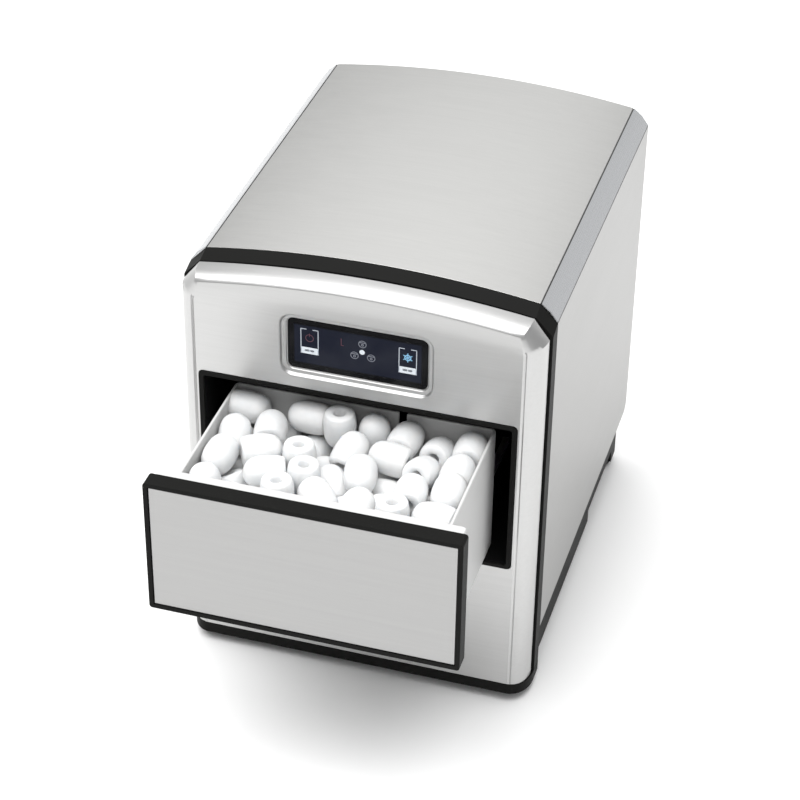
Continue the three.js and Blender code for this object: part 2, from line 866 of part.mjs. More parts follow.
function feet() {
  const top = panBottom - GAP;
  const stemTop = panFloor - GAP;
  const { radius, bevel, socket } = foot;
  const profile = [
    [0, 0], [radius - 2 * bevel, 0], [radius - bevel, 1.5 * bevel], [radius, top],
    [socket, top], [socket, stemTop], [0, stemTop],
  ];
  return footPlaces.map(([name, x, y]) => node(name, turned(profile, x, y, 0, 24), rubber));
}

// ---------------------------------------------------------------------------
// Drawer bay
// ---------------------------------------------------------------------------

function drawerLiner() {
  const { wall } = liner;
  const y0 = fasciaBack + GAP;
  const reach = linerHalf + wall;
  const outer = block(-reach, reach, y0, linerRear + wall, linerFloor - wall, linerCeiling + wall);
  const inner = block(-linerHalf, linerHalf, y0 - OVER, linerRear, linerFloor, linerCeiling);
  const entry = rampHalf + liner.entryMargin;
  const entryFront = linerRear - liner.entryDepth;
  const iceEntry = block(
    -entry, entry, entryFront, linerRear + wall + OVER, entrySill, linerCeiling + wall + OVER,
  );
  const drainY = linerRear - liner.drainFromRear;
  const drainHole = rodZ(liner.drainRadius, 0, drainY, linerFloor - wall - OVER, linerFloor + OVER);
  return node("drawer_liner", cut(outer, inner, iceEntry, drainHole), cavityBlack);
}

function runners() {
  const reach = runner.width / 2;
  const y0 = fasciaFace + drawer.frameDepth + runner.frontStop;
  const y1 = linerRear - runner.rearStop;
  const bottom = linerFloor + GAP;
  return [-1, 1].map((sign) => {
    const x = sign * runner.x;
    const bar = block(x - reach, x + reach, y0, y1, bottom, bottom + runner.height);
    return node(sign < 0 ? "runner_left" : "runner_right", bar, greyPlastic);
  });
}

function drawerRails() {
  const reach = runner.width / 2 + runner.play;
  const clear = bin.wall + GAP;
  return [-1, 1].map((sign) => {
    const x = sign * runner.x;
    const outer = reach + runner.railWall;
    const bar = block(x - outer, x + outer, binFront + clear, binRear - clear, binBottom, railTop);
    const groove = block(x - reach, x + reach, binFront, binRear, binBottom - OVER, railGroove);
    return node(sign < 0 ? "drawer_rail_left" : "drawer_rail_right", cut(bar, groove), greyPlastic);
  });
}

// ---------------------------------------------------------------------------
// Drawer
// ---------------------------------------------------------------------------

function drawerFrame() {
  const outline = roundedRect(-drawerHalf, drawerHalf, drawerBottom, drawerTop, drawer.corner);
  const frameRear = drawerFace + drawer.frameDepth;
  const outer = extrudeY(outline, drawerFace, frameRear, { curveSegments: 4 });
  const inset = drawer.border;
  const reach = drawerHalf - inset;
  const y1 = frameRear - drawer.frameBack;
  const pocket = block(-reach, reach, drawerFace - OVER, y1, drawerBottom + inset, drawerTop - inset);
  return node("drawer_frame", cut(outer, pocket), blackPlastic);
}

function drawerSkin() {
  const y0 = drawerFace + drawer.skinRecess;
  const y1 = drawerFace + drawer.frameDepth - drawer.frameBack - GAP;
  const cup = (inset, start, end) => {
    const reach = drawerHalf - inset;
    return block(-reach, reach, start, end, drawerBottom + inset, drawerTop - inset);
  };
  const inset = drawer.border + GAP;
  const hollow = cup(inset + drawer.skin, y0 + drawer.skin, y1 + OVER);
  return node("drawer_skin", cut(cup(inset, y0, y1), hollow), steel);
}

function drawerInnerPanel() {
  const reach = drawerHalf - drawer.innerInset;
  const y1 = innerPanelFront + drawer.innerPanel;
  const outline = roundedRect(-reach, reach, innerPanelFront, y1, drawer.innerCorner);
  const plate = extrudeZ(outline, railGroove, drawerTop - drawer.innerDrop);
  return node("drawer_inner_panel", plate, whitePlastic);
}

function iceBin() {
  const layer = (inset, z0, z1) => {
    const reach = binHalf - inset;
    const outline = roundedRect(-reach, reach, binFront + inset, binRear - inset, bin.radius - inset);
    return extrudeZ(outline, z0, z1);
  };
  const slotLeft = bin.slotX - bin.slotWidth / 2;
  const slotRight = bin.slotX + bin.slotWidth / 2;
  const slotFront = binRear - 2 * bin.wall;
  const slotBottom = binRim - bin.slotDepth;
  const slot = block(slotLeft, slotRight, slotFront, binRear + OVER, slotBottom, binRim + OVER);
  const reach = runner.width / 2 + runner.play;
  const grooves = both(block(
    runner.x - reach, runner.x + reach, binFront - OVER, binRear + OVER, binBottom - OVER, railGroove,
  ));
  const inside = layer(bin.wall, binFloor + bin.wall, binRim + OVER);
  const under = layer(bin.wall, binBottom - OVER, binFloor);
  return node("ice_bin", cut(layer(0, binBottom, binRim), inside, under, slot, grooves), whitePlastic);
}

// ---------------------------------------------------------------------------
// Display
// ---------------------------------------------------------------------------

// A box behind the display, drawn on the display's middle and narrowed or widened all round.
function displayBlock(grow, y0, y1) {
  const reach = display.width / 2 + grow;
  const rise = display.height / 2 + grow;
  return block(-reach, reach, y0, y1, displayMiddle - rise, displayMiddle + rise);
}

function displayParts() {
  const { glass, housing } = display;
  const glassFront = displayBack - GAP / 4;
  const pane = extrudeY(displayOutline(0), glassFront, glassFront + glass, { curveSegments: 4 });
  const houseFront = displayBack + glass + GAP;
  const houseRear = houseFront + housing.depth;
  const shell = displayBlock(housing.margin, houseFront, houseRear);
  const pocketFront = houseFront + housing.face;
  const pocket = displayBlock(housing.margin - housing.wall, pocketFront, houseRear + OVER);
  const sight = displayBlock(housing.margin - housing.bezel, houseFront - OVER, pocketFront + OVER);
  const boardFront = pocketFront + GAP;
  const boardRear = boardFront + board.thickness;
  const plate = displayBlock(housing.margin - housing.wall - GAP, boardFront, boardRear);
  const chips = display.chips.map(({ x, z, width, height, deep }) => {
    const x0 = x - width / 2;
    const z0 = displayMiddle + z - height / 2;
    return block(x0, x0 + width, boardFront + 1, boardFront + deep, z0, z0 + height);
  });
  return group(
    node("display_window", pane, blackGlass),
    node("display_housing", cut(shell, pocket, sight), blackPlastic),
    node("display_board", join(plate, ...chips), circuitGreen),
  );
}

// ---------------------------------------------------------------------------
// Ice chamber
// ---------------------------------------------------------------------------

function fingerPlaces() {
  const rows = [
    { y: trayMiddle - evaporator.rowPitch / 2, count: 5 },
    { y: trayMiddle + evaporator.rowPitch / 2, count: 4 },
  ];
  return rows.flatMap(({ y, count }) =>
    Array.from({ length: count }, (_, i) => [(i - (count - 1) / 2) * evaporator.fingerPitch, y]),
  );
}

function evaporatorPlate() {
  const reach = tray.length / 2 - evaporator.plateInset;
  const depth = evaporator.plateDepth;
  const plate = block(-reach, reach, trayMiddle - depth, trayMiddle + depth, plateBottom, plateTop);
  const r = evaporator.fingerRadius;
  const top = evaporator.fingerLength + evaporator.plate / 2;
  const profile = [[0, 0], [r / 2, r / 8], [r, r], [r, top], [0, top]];
  const fingers = fingerPlaces().map(([x, y]) => turned(profile, x, y, fingerTip, 12));
  return node("evaporator", join(plate, ...fingers), copper);
}

function evaporatorCoil() {
  const lane = evaporator.rowPitch / 2;
  const bend = lane * 0.7;
  const y = trayMiddle;
  const route = [
    [-coilReach, y - lane], [0, y - lane], [coilReach - bend, y - lane], [coilReach, y],
    [coilReach - bend, y + lane], [0, y + lane], [-coilReach, y + lane],
  ];
  const points = route.map(([x, along]) => [x, along, coilZ]);
  return node("evaporator_coil", tube(points, evaporator.tubeRadius, 30), copper);
}

// The trough is drawn in Y and Z and swings about the pivot behind its rim.
function troughOutline(inset, lift) {
  const y0 = trayFront + inset;
  const y1 = trayFront + tray.width - inset;
  const top = trayRim + lift;
  const { slope } = tray;
  return polygon([
    [y0, top], [y0, trayBottom + slope], [y0 + slope, trayBottom + inset],
    [y1 - slope, trayBottom + inset], [y1, trayBottom + slope], [y1, top],
  ]);
}

function waterTray() {
  const reach = tray.length / 2;
  const shell = extrudeX(troughOutline(0, 0), -reach, reach);
  const water = extrudeX(troughOutline(tray.wall, OVER), -reach + tray.wall, reach - tray.wall);
  const { lugReach, lugProud } = tray;
  const lugs = both(block(
    reach - tray.wall, reach, pivotY - lugReach, pivotY + lugProud, pivotZ - lugReach, pivotZ + lugProud,
  ));
  const root = reach - tray.wall / 2;
  const drivenPin = rodX(tray.pivotRadius, motorFace - tray.pinGrip, -root, pivotY, pivotZ, 20);
  const freePin = rodX(tray.pivotRadius, root, chamberHalf + tray.pinProud, pivotY, pivotZ, 20);
  return node("water_tray", join(cut(shell, water), lugs, drivenPin, freePin), whitePlastic);
}

function chamberSides() {
  const play = 2;
  const slotBottom = chamberFloor + pusher.lugRise - GAP;
  const slotTop = slotBottom + pusher.lugHeight + 2 * GAP;
  return [-1, 1].map((sign) => {
    const x0 = sign > 0 ? chamberInside : -chamberHalf;
    const x1 = x0 + chamber.side;
    const plate = block(x0, x1, chamberFront, chamberRear, entrySill, plateTop);
    const pinRadius = tray.pivotRadius + tray.pivotPlay;
    const pinHole = rodX(pinRadius, x0 - OVER, x1 + OVER, pivotY, pivotZ, 20);
    const slot = block(x0 - OVER, x1 + OVER, pusherRest - play, pusherEnd + play, slotBottom, slotTop);
    const name = sign < 0 ? "chamber_side_left" : "chamber_side_right";
    return node(name, cut(plate, pinHole, slot), whitePlastic);
  });
}

function iceRamp() {
  const nose = linerRear - 2 * chamber.side;
  const ramp = block(-rampHalf, rampHalf, nose, chamberRear, entrySill + GAP, chamberFloor);
  return node("ice_ramp", ramp, whitePlastic);
}

function icePusher() {
  const reach = chamberInside - 2;
  const y1 = pusherRest + pusher.thickness;
  const bottom = chamberFloor + 1;
  const blade = block(-reach, reach, pusherRest, y1, bottom, bottom + pusher.height);
  const lugReach = chamberHalf + pusher.lugProud;
  const lugBottom = chamberFloor + pusher.lugRise;
  const lugs = block(-lugReach, lugReach, pusherRest, y1, lugBottom, lugBottom + pusher.lugHeight);
  const notchBottom = bottom + pusher.notchRise;
  const notches = [-2, -1, 0, 1, 2].map((i) => {
    const x0 = i * evaporator.fingerPitch - pusher.notchWidth / 2;
    const x1 = x0 + pusher.notchWidth;
    return block(x0, x1, pusherRest - OVER, y1 + OVER, notchBottom, bottom + pusher.height + OVER);
  });
  return node("ice_pusher", cut(join(blade, lugs), ...notches), greyPlastic);
}

function trayMotor() {
  const { radius, length, drop, plateHalf, plateThickness, plateHeight } = gearMotor;
  const can = rodX(radius, motorFace - length, motorFace, pivotY, pivotZ - drop, 24);
  const plateTopZ = pivotZ + drop;
  const plate = block(
    motorFace - plateThickness, motorFace, pivotY - plateHalf, pivotY + plateHalf,
    plateTopZ - plateHeight, plateTopZ,
  );
  const pinRadius = tray.pivotRadius + tray.pivotPlay;
  const holeEnd = motorFace - tray.pinGrip - drop;
  const shaftHole = rodX(pinRadius, holeEnd, motorFace + OVER, pivotY, pivotZ, 20);
  return node("tray_motor", cut(join(can, plate), shaftHole), zinc);
}

// ---------------------------------------------------------------------------
// Water parts
// ---------------------------------------------------------------------------

function waterTank() {
  const { wall, height, stemRadius, stemDrop } = tank;
  const top = tankBottom + height;
  const outer = block(-tankHalf, tankHalf, tankFront, tankRear, tankBottom, top);
  const reach = tankHalf - wall;
  const inner = block(-reach, reach, tankFront + wall, tankRear - wall, tankBottom + wall, top + OVER);
  const stem = rodZ(stemRadius, floatX, floatY, tankBottom + wall / 2, top - stemDrop, 16);
  return node("water_tank", join(cut(outer, inner), stem), whitePlastic);
}

function levelFloat() {
  const bottom = tankBottom + tank.wall + GAP;
  const top = bottom + float.height;
  const ring = rodZ(float.radius, floatX, floatY, bottom, top, 24);
  const bore = rodZ(tank.stemRadius + float.play, floatX, floatY, bottom - OVER, top + OVER, 16);
  return node("level_float", cut(ring, bore), greyPlastic);
}

function waterPump() {
  const canTop = pumpBottom + pump.height;
  const can = rodZ(pump.radius, pumpX, pumpY, pumpBottom, canTop);
  const inlet = rodY(pump.inletRadius, pumpX, tankRear + GAP, pumpY, pumpBottom + pump.inletRise, 16);
  const outlet = rodZ(pump.outletRadius, pumpX, pumpY, canTop - pump.outletRadius, pumpTop, 16);
  return node("water_pump", join(can, inlet, outlet), blackPlastic);
}

function fillHose() {
  const start = pumpTop + GAP;
  const hoseX = chamberHalf + hose.fromChamber;
  const end = trayRim + hose.overTray;
  const points = [
    [pumpX, pumpY, start], [pumpX, pumpY, start + 14], [hoseX, pumpY + 2, entrySill - 20],
    [hoseX, trayMiddle - 16, entrySill + 30], [hoseX, trayMiddle - 8, end - 10],
    [hoseX - 4, trayMiddle - 6, end], [chamberHalf + GAP, trayMiddle - 6, end],
  ];
  return node("fill_hose", tube(points, hose.radius, 30), whitePlastic);
}

function drainParts() {
  const outer = drain.boreRadius + drain.wall;
  const start = panRear - drain.inside;
  const end = panRear + drain.proud;
  const bore = rodY(drain.boreRadius, drainX, start - OVER, end + OVER, drainZ);
  const spout = cut(rodY(outer, drainX, start, end, drainZ), bore);
  const flangeFront = end + GAP;
  const flange = rodY(outer + drain.capLip, drainX, flangeFront, flangeFront + drain.capFlange, drainZ);
  const stemRadius = drain.boreRadius - drain.play;
  const stem = rodY(stemRadius, drainX, end - drain.stemLength, flangeFront + 1, drainZ);
  return group(
    node("drain_spout", spout, blackPlastic),
    node("drain_cap", join(flange, stem), rubber),
  );
}

function cordGland() {
  const start = rear - gland.inside;
  const end = rear + gland.outside;
  const body = rodY(gland.radius, glandX, start, rear + 2 * GAP, glandZ);
  const collar = rodY(gland.radius + gland.collar, glandX, rear + GAP, end, glandZ);
  const bore = rodY(gland.bore, glandX, start - OVER, end + OVER, glandZ, 16);
  return node("cord_gland", cut(join(body, collar), bore), blackPlastic);
}

// ---------------------------------------------------------------------------
// Cooling circuit
// ---------------------------------------------------------------------------

function compressorParts() {
  const r = compressor.radius;
  const h = compressor.height;
  const profile = [
    [0, 0], [r - 14, 0], [r - 4, 6], [r, 16],
    [r, h - 34], [r - 4, h - 18], [r - 16, h - 5], [r - 30, h], [0, h],
  ];
  const can = turned(profile, compressorX, compressorY, compressorBottom);
  const lidRight = compressorX + r + compressor.coverProud;
  const lidHalf = compressor.coverWidth / 2;
  const lidBottom = compressorBottom + compressor.coverRise;
  const lid = block(
    lidRight - 2 * compressor.coverProud, lidRight, compressorY - lidHalf, compressorY + lidHalf,
    lidBottom, lidBottom + compressor.coverHeight,
  );
  const mounts = mountPlaces.map(([x, y], i) => {
    const mount = rodZ(compressor.mountRadius, x, y, panFloor + GAP, compressorBottom - GAP, 16);
    return node(`compressor_mount_${i + 1}`, mount, rubber);
  });
  return group(node("compressor", join(can, lid), enamel), ...mounts);
}

function condenserTubeAt(row) {
  return condenserBottom + ((row + 0.5) * condenser.height) / condenser.rows;
}

function condenserBlock() {
  const width = condenserRight - condenserLeft;
  const pitch = (width - condenser.finThickness) / (condenser.fins - 1);
  const fins = Array.from({ length: condenser.fins }, (_, i) => {
    const x = condenserLeft + i * pitch;
    return block(x, x + condenser.finThickness, condenserFront, condenserRear, condenserBottom, condenserTop);
  });
  const tubes = Array.from({ length: condenser.rows }, (_, i) =>
    rodX(condenser.tubeRadius, condenserLeft, condenserRight, condenserY, condenserTubeAt(i), 8),
  );
  return node("condenser", join(...fins, ...tubes), aluminium);
}

function fanShroud() {
  const { ringWall, armWidth, armThickness, motorRadius } = fan;
  const plateFront = shroudRear - ringWall;
  const plate = block(condenserLeft, condenserRight, plateFront, shroudRear, condenserBottom, condenserTop);
  const ring = rodY(fanOpening + ringWall, condenserX, ringFront, shroudRear, condenserZ, 40);
  const opening = rodY(fanOpening, condenserX, ringFront - OVER, shroudRear + OVER, condenserZ, 40);
  const armRear = ringFront + armThickness;
  const arms = [0, 1, 2].map((i) => {
    const arm = block(-armWidth / 2, armWidth / 2, ringFront, armRear, 0, fanOpening + ringWall / 2);
    return arm.rotate([0, i * 120, 0]).translate([condenserX, 0, condenserZ]);
  });
  const cup = rodY(motorRadius, condenserX, ringFront, armRear, condenserZ);
  const shaftRadius = fan.shaftRadius + 1.5;
  const shaftHole = rodY(shaftRadius, condenserX, ringFront - OVER, armRear + OVER, condenserZ);
  const frame = join(cut(join(plate, ring), opening), ...arms, cup);
  return node("fan_shroud", cut(frame, shaftHole), blackPlastic);
}

function fanMotor() {
  const end = ringFront - GAP;
  const can = rodY(fan.motorRadius, condenserX, end - fan.motorLength, end, condenserZ);
  const shaft = rodY(fan.shaftRadius, condenserX, end - 1, ringFront + fan.shaftLength, condenserZ, 16);
  return node("fan_motor", join(can, shaft), zinc);
}

// A flat blade set at an angle to the hub, kept inside the fan's radius.
function fanBlades() {
  const y0 = ringFront + fan.bladeStart;
  const y1 = y0 + fan.bladeDepth;
  const hub = rodY(fan.hubRadius, condenserX, y0, y1, condenserZ);
  const root = fan.hubRadius - fan.hubGrip;
  const reach = fanRadius - root;
  const blades = Array.from({ length: fan.blades }, (_, i) => {
    const geometry = new THREE.BoxGeometry(fan.bladeWidth, fan.bladeThickness, reach);
    geometry.rotateZ(fan.bladePitch);
    geometry.translate(0, (y0 + y1) / 2, root + reach / 2);
    geometry.rotateY((i * 2 * Math.PI) / fan.blades);
    geometry.translate(condenserX, 0, condenserZ);
    return solid(geometry);
  });
  const envelope = rodY(fanRadius, condenserX, y0, y1, condenserZ, 40);
  const bore = rodY(fan.boreRadius, condenserX, y0 - OVER, y1 - OVER, condenserZ, 16);
  return node("fan_blades", cut(join(hub, ...blades).intersect(envelope), bore), blackPlastic);
}

const drierX = condenserX + drier.offset;
const drierY = ringFront - fan.motorLength - drier.fromMotor;
const drierBottom = condenserBottom + drier.rise;
const drierTop = drierBottom + drier.length;
const coilEnd = -coilReach - GAP;
const coilRear = trayMiddle + evaporator.rowPitch / 2;
const coilFront = trayMiddle - evaporator.rowPitch / 2;
const leftLane = -chamberHalf - pipe.laneFromChamber;

function filterDrier() {
  const { radius, neck, length, taper, neckLength } = drier;
  const shoulderAt = neckLength + taper;
  const profile = [
    [0, 0], [neck, 0], [neck, neckLength], [radius, shoulderAt],
    [radius, length - shoulderAt], [neck, length - neckLength], [neck, length], [0, length],
  ];
  return node("filter_drier", turned(profile, drierX, drierY, drierBottom, 16), copper);
}

function dischargePipe() {
  const end = condenserTubeAt(condenser.rows - 1);
  const top = compressorTop + pipe.aboveCompressor;
  const route = [
    [compressorX + 14, compressorY + 4, compressorTop + GAP],
    [compressorX + 14, compressorY + 6, top - 8],
    [compressorX + 22, compressorY + 12, top],
    [condenserLeft - 14, condenserY, top - 2],
    [condenserLeft - 12, condenserY, end + 6],
    [condenserLeft - 6, condenserY, end],
    [condenserLeft - 2 * GAP, condenserY, end],
  ];
  return node("discharge_pipe", tube(route, pipe.radius, 26), copper);
}

function suctionPipe() {
  const route = [
    [coilEnd, coilRear, coilZ],
    [coilEnd - 12, coilRear, coilZ],
    [leftLane + 8, coilRear + 8, coilZ - 6],
    [leftLane, coilRear + 14, entrySill + 30],
    [leftLane, compressorY - 30, entrySill - 24],
    [compressorX - 20, compressorY - 6, compressorTop + 24],
    [compressorX - 16, compressorY, compressorTop + 12],
    [compressorX - 16, compressorY, compressorTop + 2 * GAP],
  ];
  return node("suction_pipe", tube(route, pipe.radius, 34), copper);
}

function capillaryTube() {
  const route = [
    [drierX, drierY, drierTop + GAP],
    [drierX - 4, drierY, drierTop + 12],
    [drierX - 40, drierY + 4, drierTop + 16],
    [-chamberHalf - 6, drierY + 2, entrySill - 14],
    [leftLane + 18, coilFront + 6, entrySill + 20],
    [leftLane + 18, coilFront, coilZ - 8],
    [coilEnd - 16, coilFront, coilZ],
    [coilEnd, coilFront, coilZ],
  ];
  return node("capillary_tube", tube(route, pipe.capillaryRadius, 40, 6), copper);
}

function hotGasValve() {
  const x = compressorX + valve.offset;
  const y = compressorY - valve.setback;
  const z = compressorTop + valve.rise;
  const coilHalf = valve.coil / 2;
  const body = rodX(valve.radius, x - valve.halfLength, x + valve.halfLength, y, z, 16);
  const coil = block(x - coilHalf, x + coilHalf, y - coilHalf, y + coilHalf, z, z + valve.coilHeight);
  return node("hot_gas_valve", join(body, coil), zinc);
}

// ---------------------------------------------------------------------------
// Electrics
// ---------------------------------------------------------------------------

function controlBoard() {
  const x = half - board.fromSide;
  const y0 = chamberFront + board.fromChamber;
  const z0 = entrySill - board.drop;
  const plate = block(x, x + board.thickness, y0, y0 + board.length, z0, z0 + board.height);
  const pieces = board.parts.map(({ y, z, width, height, deep }) => {
    return block(x - deep, x + board.thickness / 2, y0 + y, y0 + y + width, z0 + z, z0 + z + height);
  });
  return node("control_board", join(plate, ...pieces), circuitGreen);
}

function iceSensor() {
  const x1 = linerHalf - GAP;
  const x0 = x1 - sensor.depth;
  const y0 = linerRear - sensor.fromRear;
  const z = binRim + sensor.aboveBin;
  const rise = sensor.height / 2;
  const shell = block(x0, x1, y0, y0 + sensor.width, z - rise, z + rise);
  const eye = rodX(sensor.eyeRadius, x0 - sensor.eyeProud, x0 + 1, y0 + sensor.width / 2, z, 16);
  return node("ice_sensor", join(shell, eye), blackPlastic);
}

// ---------------------------------------------------------------------------
// Assembly
// ---------------------------------------------------------------------------

const machine = group(
  group(
    roofPanel(),
    cornerTrim("corner_trim_left", -1),
    cornerTrim("corner_trim_right", 1),
    sidePanel("side_panel_left", -1),
    sidePanel("side_panel_right", 1),
    rearPanel(),
    ...rearScrews(),
    frontHoop(),
    frontFascia(),
    drawerSurround(),
  ),
  group(basePan(), ...feet()),
  group(drawerLiner(), ...runners(), iceSensor()),
  group(drawerFrame(), drawerSkin(), drawerInnerPanel(), iceBin(), ...drawerRails()),
  displayParts(),
  group(evaporatorPlate(), evaporatorCoil(), waterTray(), trayMotor()),
  group(...chamberSides(), iceRamp(), icePusher()),
  group(waterTank(), levelFloat(), waterPump(), fillHose(), drainParts(), cordGland()),
  group(compressorParts(), condenserBlock(), fanShroud(), fanMotor(), fanBlades()),
  group(filterDrier(), dischargePipe(), suctionPipe(), capillaryTube(), hotGasValve()),
  controlBoard(),
);

const extent = new THREE.Box3().setFromObject(machine);
machine.position.y = -(extent.min.y + extent.max.y) / 2;

export default machine;
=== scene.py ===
"""The looks of a countertop ice maker: pressed steel shell, glass display, and a drawer full of ice."""
import json
import logging
import math
import random
from collections.abc import Callable, Iterable
from dataclasses import dataclass
from enum import Enum

import bmesh
import bpy
from mathutils import Euler, Matrix, Vector

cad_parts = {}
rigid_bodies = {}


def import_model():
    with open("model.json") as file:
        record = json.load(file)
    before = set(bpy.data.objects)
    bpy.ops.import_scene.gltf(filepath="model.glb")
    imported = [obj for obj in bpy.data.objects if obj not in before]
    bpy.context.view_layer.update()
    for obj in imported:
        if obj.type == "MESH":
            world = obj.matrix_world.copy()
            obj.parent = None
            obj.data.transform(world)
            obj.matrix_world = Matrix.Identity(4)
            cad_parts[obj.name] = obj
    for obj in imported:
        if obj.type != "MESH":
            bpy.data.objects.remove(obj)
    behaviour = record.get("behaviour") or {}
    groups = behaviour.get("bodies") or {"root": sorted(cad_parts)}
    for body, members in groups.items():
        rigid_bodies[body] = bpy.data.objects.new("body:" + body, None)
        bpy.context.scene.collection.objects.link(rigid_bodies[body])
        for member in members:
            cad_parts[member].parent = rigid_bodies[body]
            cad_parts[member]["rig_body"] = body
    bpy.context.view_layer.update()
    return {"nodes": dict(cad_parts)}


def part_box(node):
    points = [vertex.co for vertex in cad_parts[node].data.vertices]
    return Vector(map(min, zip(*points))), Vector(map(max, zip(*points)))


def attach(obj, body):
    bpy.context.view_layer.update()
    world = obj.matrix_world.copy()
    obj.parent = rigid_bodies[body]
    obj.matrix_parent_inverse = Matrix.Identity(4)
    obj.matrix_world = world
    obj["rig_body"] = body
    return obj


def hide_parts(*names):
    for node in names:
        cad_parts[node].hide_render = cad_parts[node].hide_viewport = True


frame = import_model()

LOG = logging.getLogger("ice_maker")
MM = 0.001
MERGE = 0.000002  # corners closer than this are one
SQUARE = 0.9  # a normal's or an edge's least share along the axis that it faces
Colour = tuple[float, float, float]
Wanted = Callable[[Vector, Vector], bool]


# ---------------------------------------------------------------------------
# Shader building
# ---------------------------------------------------------------------------


class Signal:
    """A value socket of a material, which takes part in Python arithmetic."""

    def __init__(self, recipe: "Recipe", socket: bpy.types.NodeSocket) -> None:
        """Wraps a socket.

        Args:
            recipe: The material that the socket belongs to.
            socket: The output socket that carries the value.
        """
        self.recipe = recipe
        self.socket = socket

    def maths(self, operation: str, *values: object) -> "Signal":
        """Adds a Math node.

        Args:
            operation: The Math node's operation.
            values: Its inputs in order, signals or numbers.

        Returns:
            The node's value.
        """
        return self.recipe.add("ShaderNodeMath", {"operation": operation}, dict(enumerate(values)))

    def __add__(self, other: object) -> "Signal":
        """The sum of two values."""
        return self.maths("ADD", self, other)

    __radd__ = __add__

    def __sub__(self, other: object) -> "Signal":
        """The difference of two values."""
        return self.maths("SUBTRACT", self, other)

    def __rsub__(self, other: object) -> "Signal":
        """A number less this value."""
        return self.maths("SUBTRACT", other, self)

    def __mul__(self, other: object) -> "Signal":
        """The product of two values."""
        return self.maths("MULTIPLY", self, other)

    __rmul__ = __mul__

    def __abs__(self) -> "Signal":
        """The value without its sign."""
        return self.maths("ABSOLUTE", self)

    def clamped(self) -> "Signal":
        """The value held between 0 and 1."""
        return self.maths("MINIMUM", self.maths("MAXIMUM", self, 0.0), 1.0)

    def step(self, start: float, end: float) -> "Signal":
        """The value's smooth rise from 0 at start to 1 at end."""
        settings = {"interpolation_type": "SMOOTHSTEP"}
        return self.recipe.add("ShaderNodeMapRange", settings, {0: self, 1: start, 2: end, 3: 0.0, 4: 1.0})


class Recipe:
    """One procedural material while its nodes are laid out."""

    def __init__(self, name: str) -> None:
        """Starts a material with one Principled shader.

        Args:
            name: The material's name.
        """
        self.material = bpy.data.materials.new(name)
        self.material.use_nodes = True
        self.tree = self.material.node_tree
        self.shader = self.tree.nodes["Principled BSDF"]

    def connect(self, target: bpy.types.NodeSocket, value: object) -> None:
        """Links a signal to a socket, or sets the socket to a number or colour.

        Args:
            target: The input socket.
            value: A signal, number, vector or colour.
        """
        if isinstance(value, Signal):
            self.tree.links.new(value.socket, target)
        elif target.type == "RGBA" and len(value) == 3:
            target.default_value = (*value, 1.0)
        else:
            target.default_value = value

    def add(self, kind: str, settings: dict, values: dict, output: int = 0) -> Signal:
        """Adds a node.

        Args:
            kind: The node's type.
            settings: Its own properties.
            values: Numbers or signals for its inputs, by index or name.
            output: The output socket that is wanted.

        Returns:
            The signal of that output.
        """
        node = self.tree.nodes.new(kind)
        for name, value in settings.items():
            setattr(node, name, value)
        for name, value in values.items():
            self.connect(node.inputs[name], value)
        return Signal(self, node.outputs[output])

    def place(self, stretch: Colour = (1.0, 1.0, 1.0), turn: Colour = (0.0, 0.0, 0.0)) -> Signal:
        """The object's own coordinates, stretched and turned.

        Args:
            stretch: The factor on each axis.
            turn: The rotation in radians.

        Returns:
            The coordinates.
        """
        here = self.add("ShaderNodeTexCoord", {}, {}, 3)
        return self.add("ShaderNodeMapping", {}, {"Vector": here, "Scale": stretch, "Rotation": turn})

    def noise(self, where: Signal, scale: float, detail: float = 2.0, roughness: float = 0.5) -> Signal:
        """A noise pattern.

        Args:
            where: The coordinates.
            scale: Its grains per metre.
            detail: The number of finer layers.
            roughness: How strong the finer layers are.

        Returns:
            A value around a half.
        """
        values = {"Vector": where, "Scale": scale, "Detail": detail, "Roughness": roughness}
        return self.add("ShaderNodeTexNoise", {}, values)

    def axis(self, where: Signal, index: int) -> Signal:
        """One coordinate of a point."""
        return self.add("ShaderNodeSeparateXYZ", {}, {0: where}, index)

    def blend(self, factor: object, first: object, second: object) -> Signal:
        """A mix of two colours.

        Args:
            factor: The share of the second colour.
            first: The first colour.
            second: The second colour.

        Returns:
            The mixed colour.
        """
        settings = {"data_type": "RGBA"}
        return self.add("ShaderNodeMix", settings, {0: factor, 6: first, 7: second}, 2)

    def bump(self, height: Signal, distance: float, strength: float = 1.0) -> None:
        """Raises the surface by a pattern.

        Args:
            height: The pattern.
            distance: The height of its full range, in metres.
            strength: The share of it that shows.
        """
        values = {"Height": height, "Distance": distance, "Strength": strength}
        self.connect(self.shader.inputs["Normal"], self.add("ShaderNodeBump", {}, values))

    def set(self, **values: object) -> None:
        """Sets or links sockets of the shader, named with underscores for spaces."""
        for name, value in values.items():
            self.connect(self.shader.inputs[name.replace("_", " ")], value)


class Run(Enum):
    """The way that a brushed sheet's lines run, as a stretch of the pattern on X, Y and Z."""

    ACROSS = (0.012, 1.0, 1.0)
    BACK = (1.0, 0.012, 1.0)


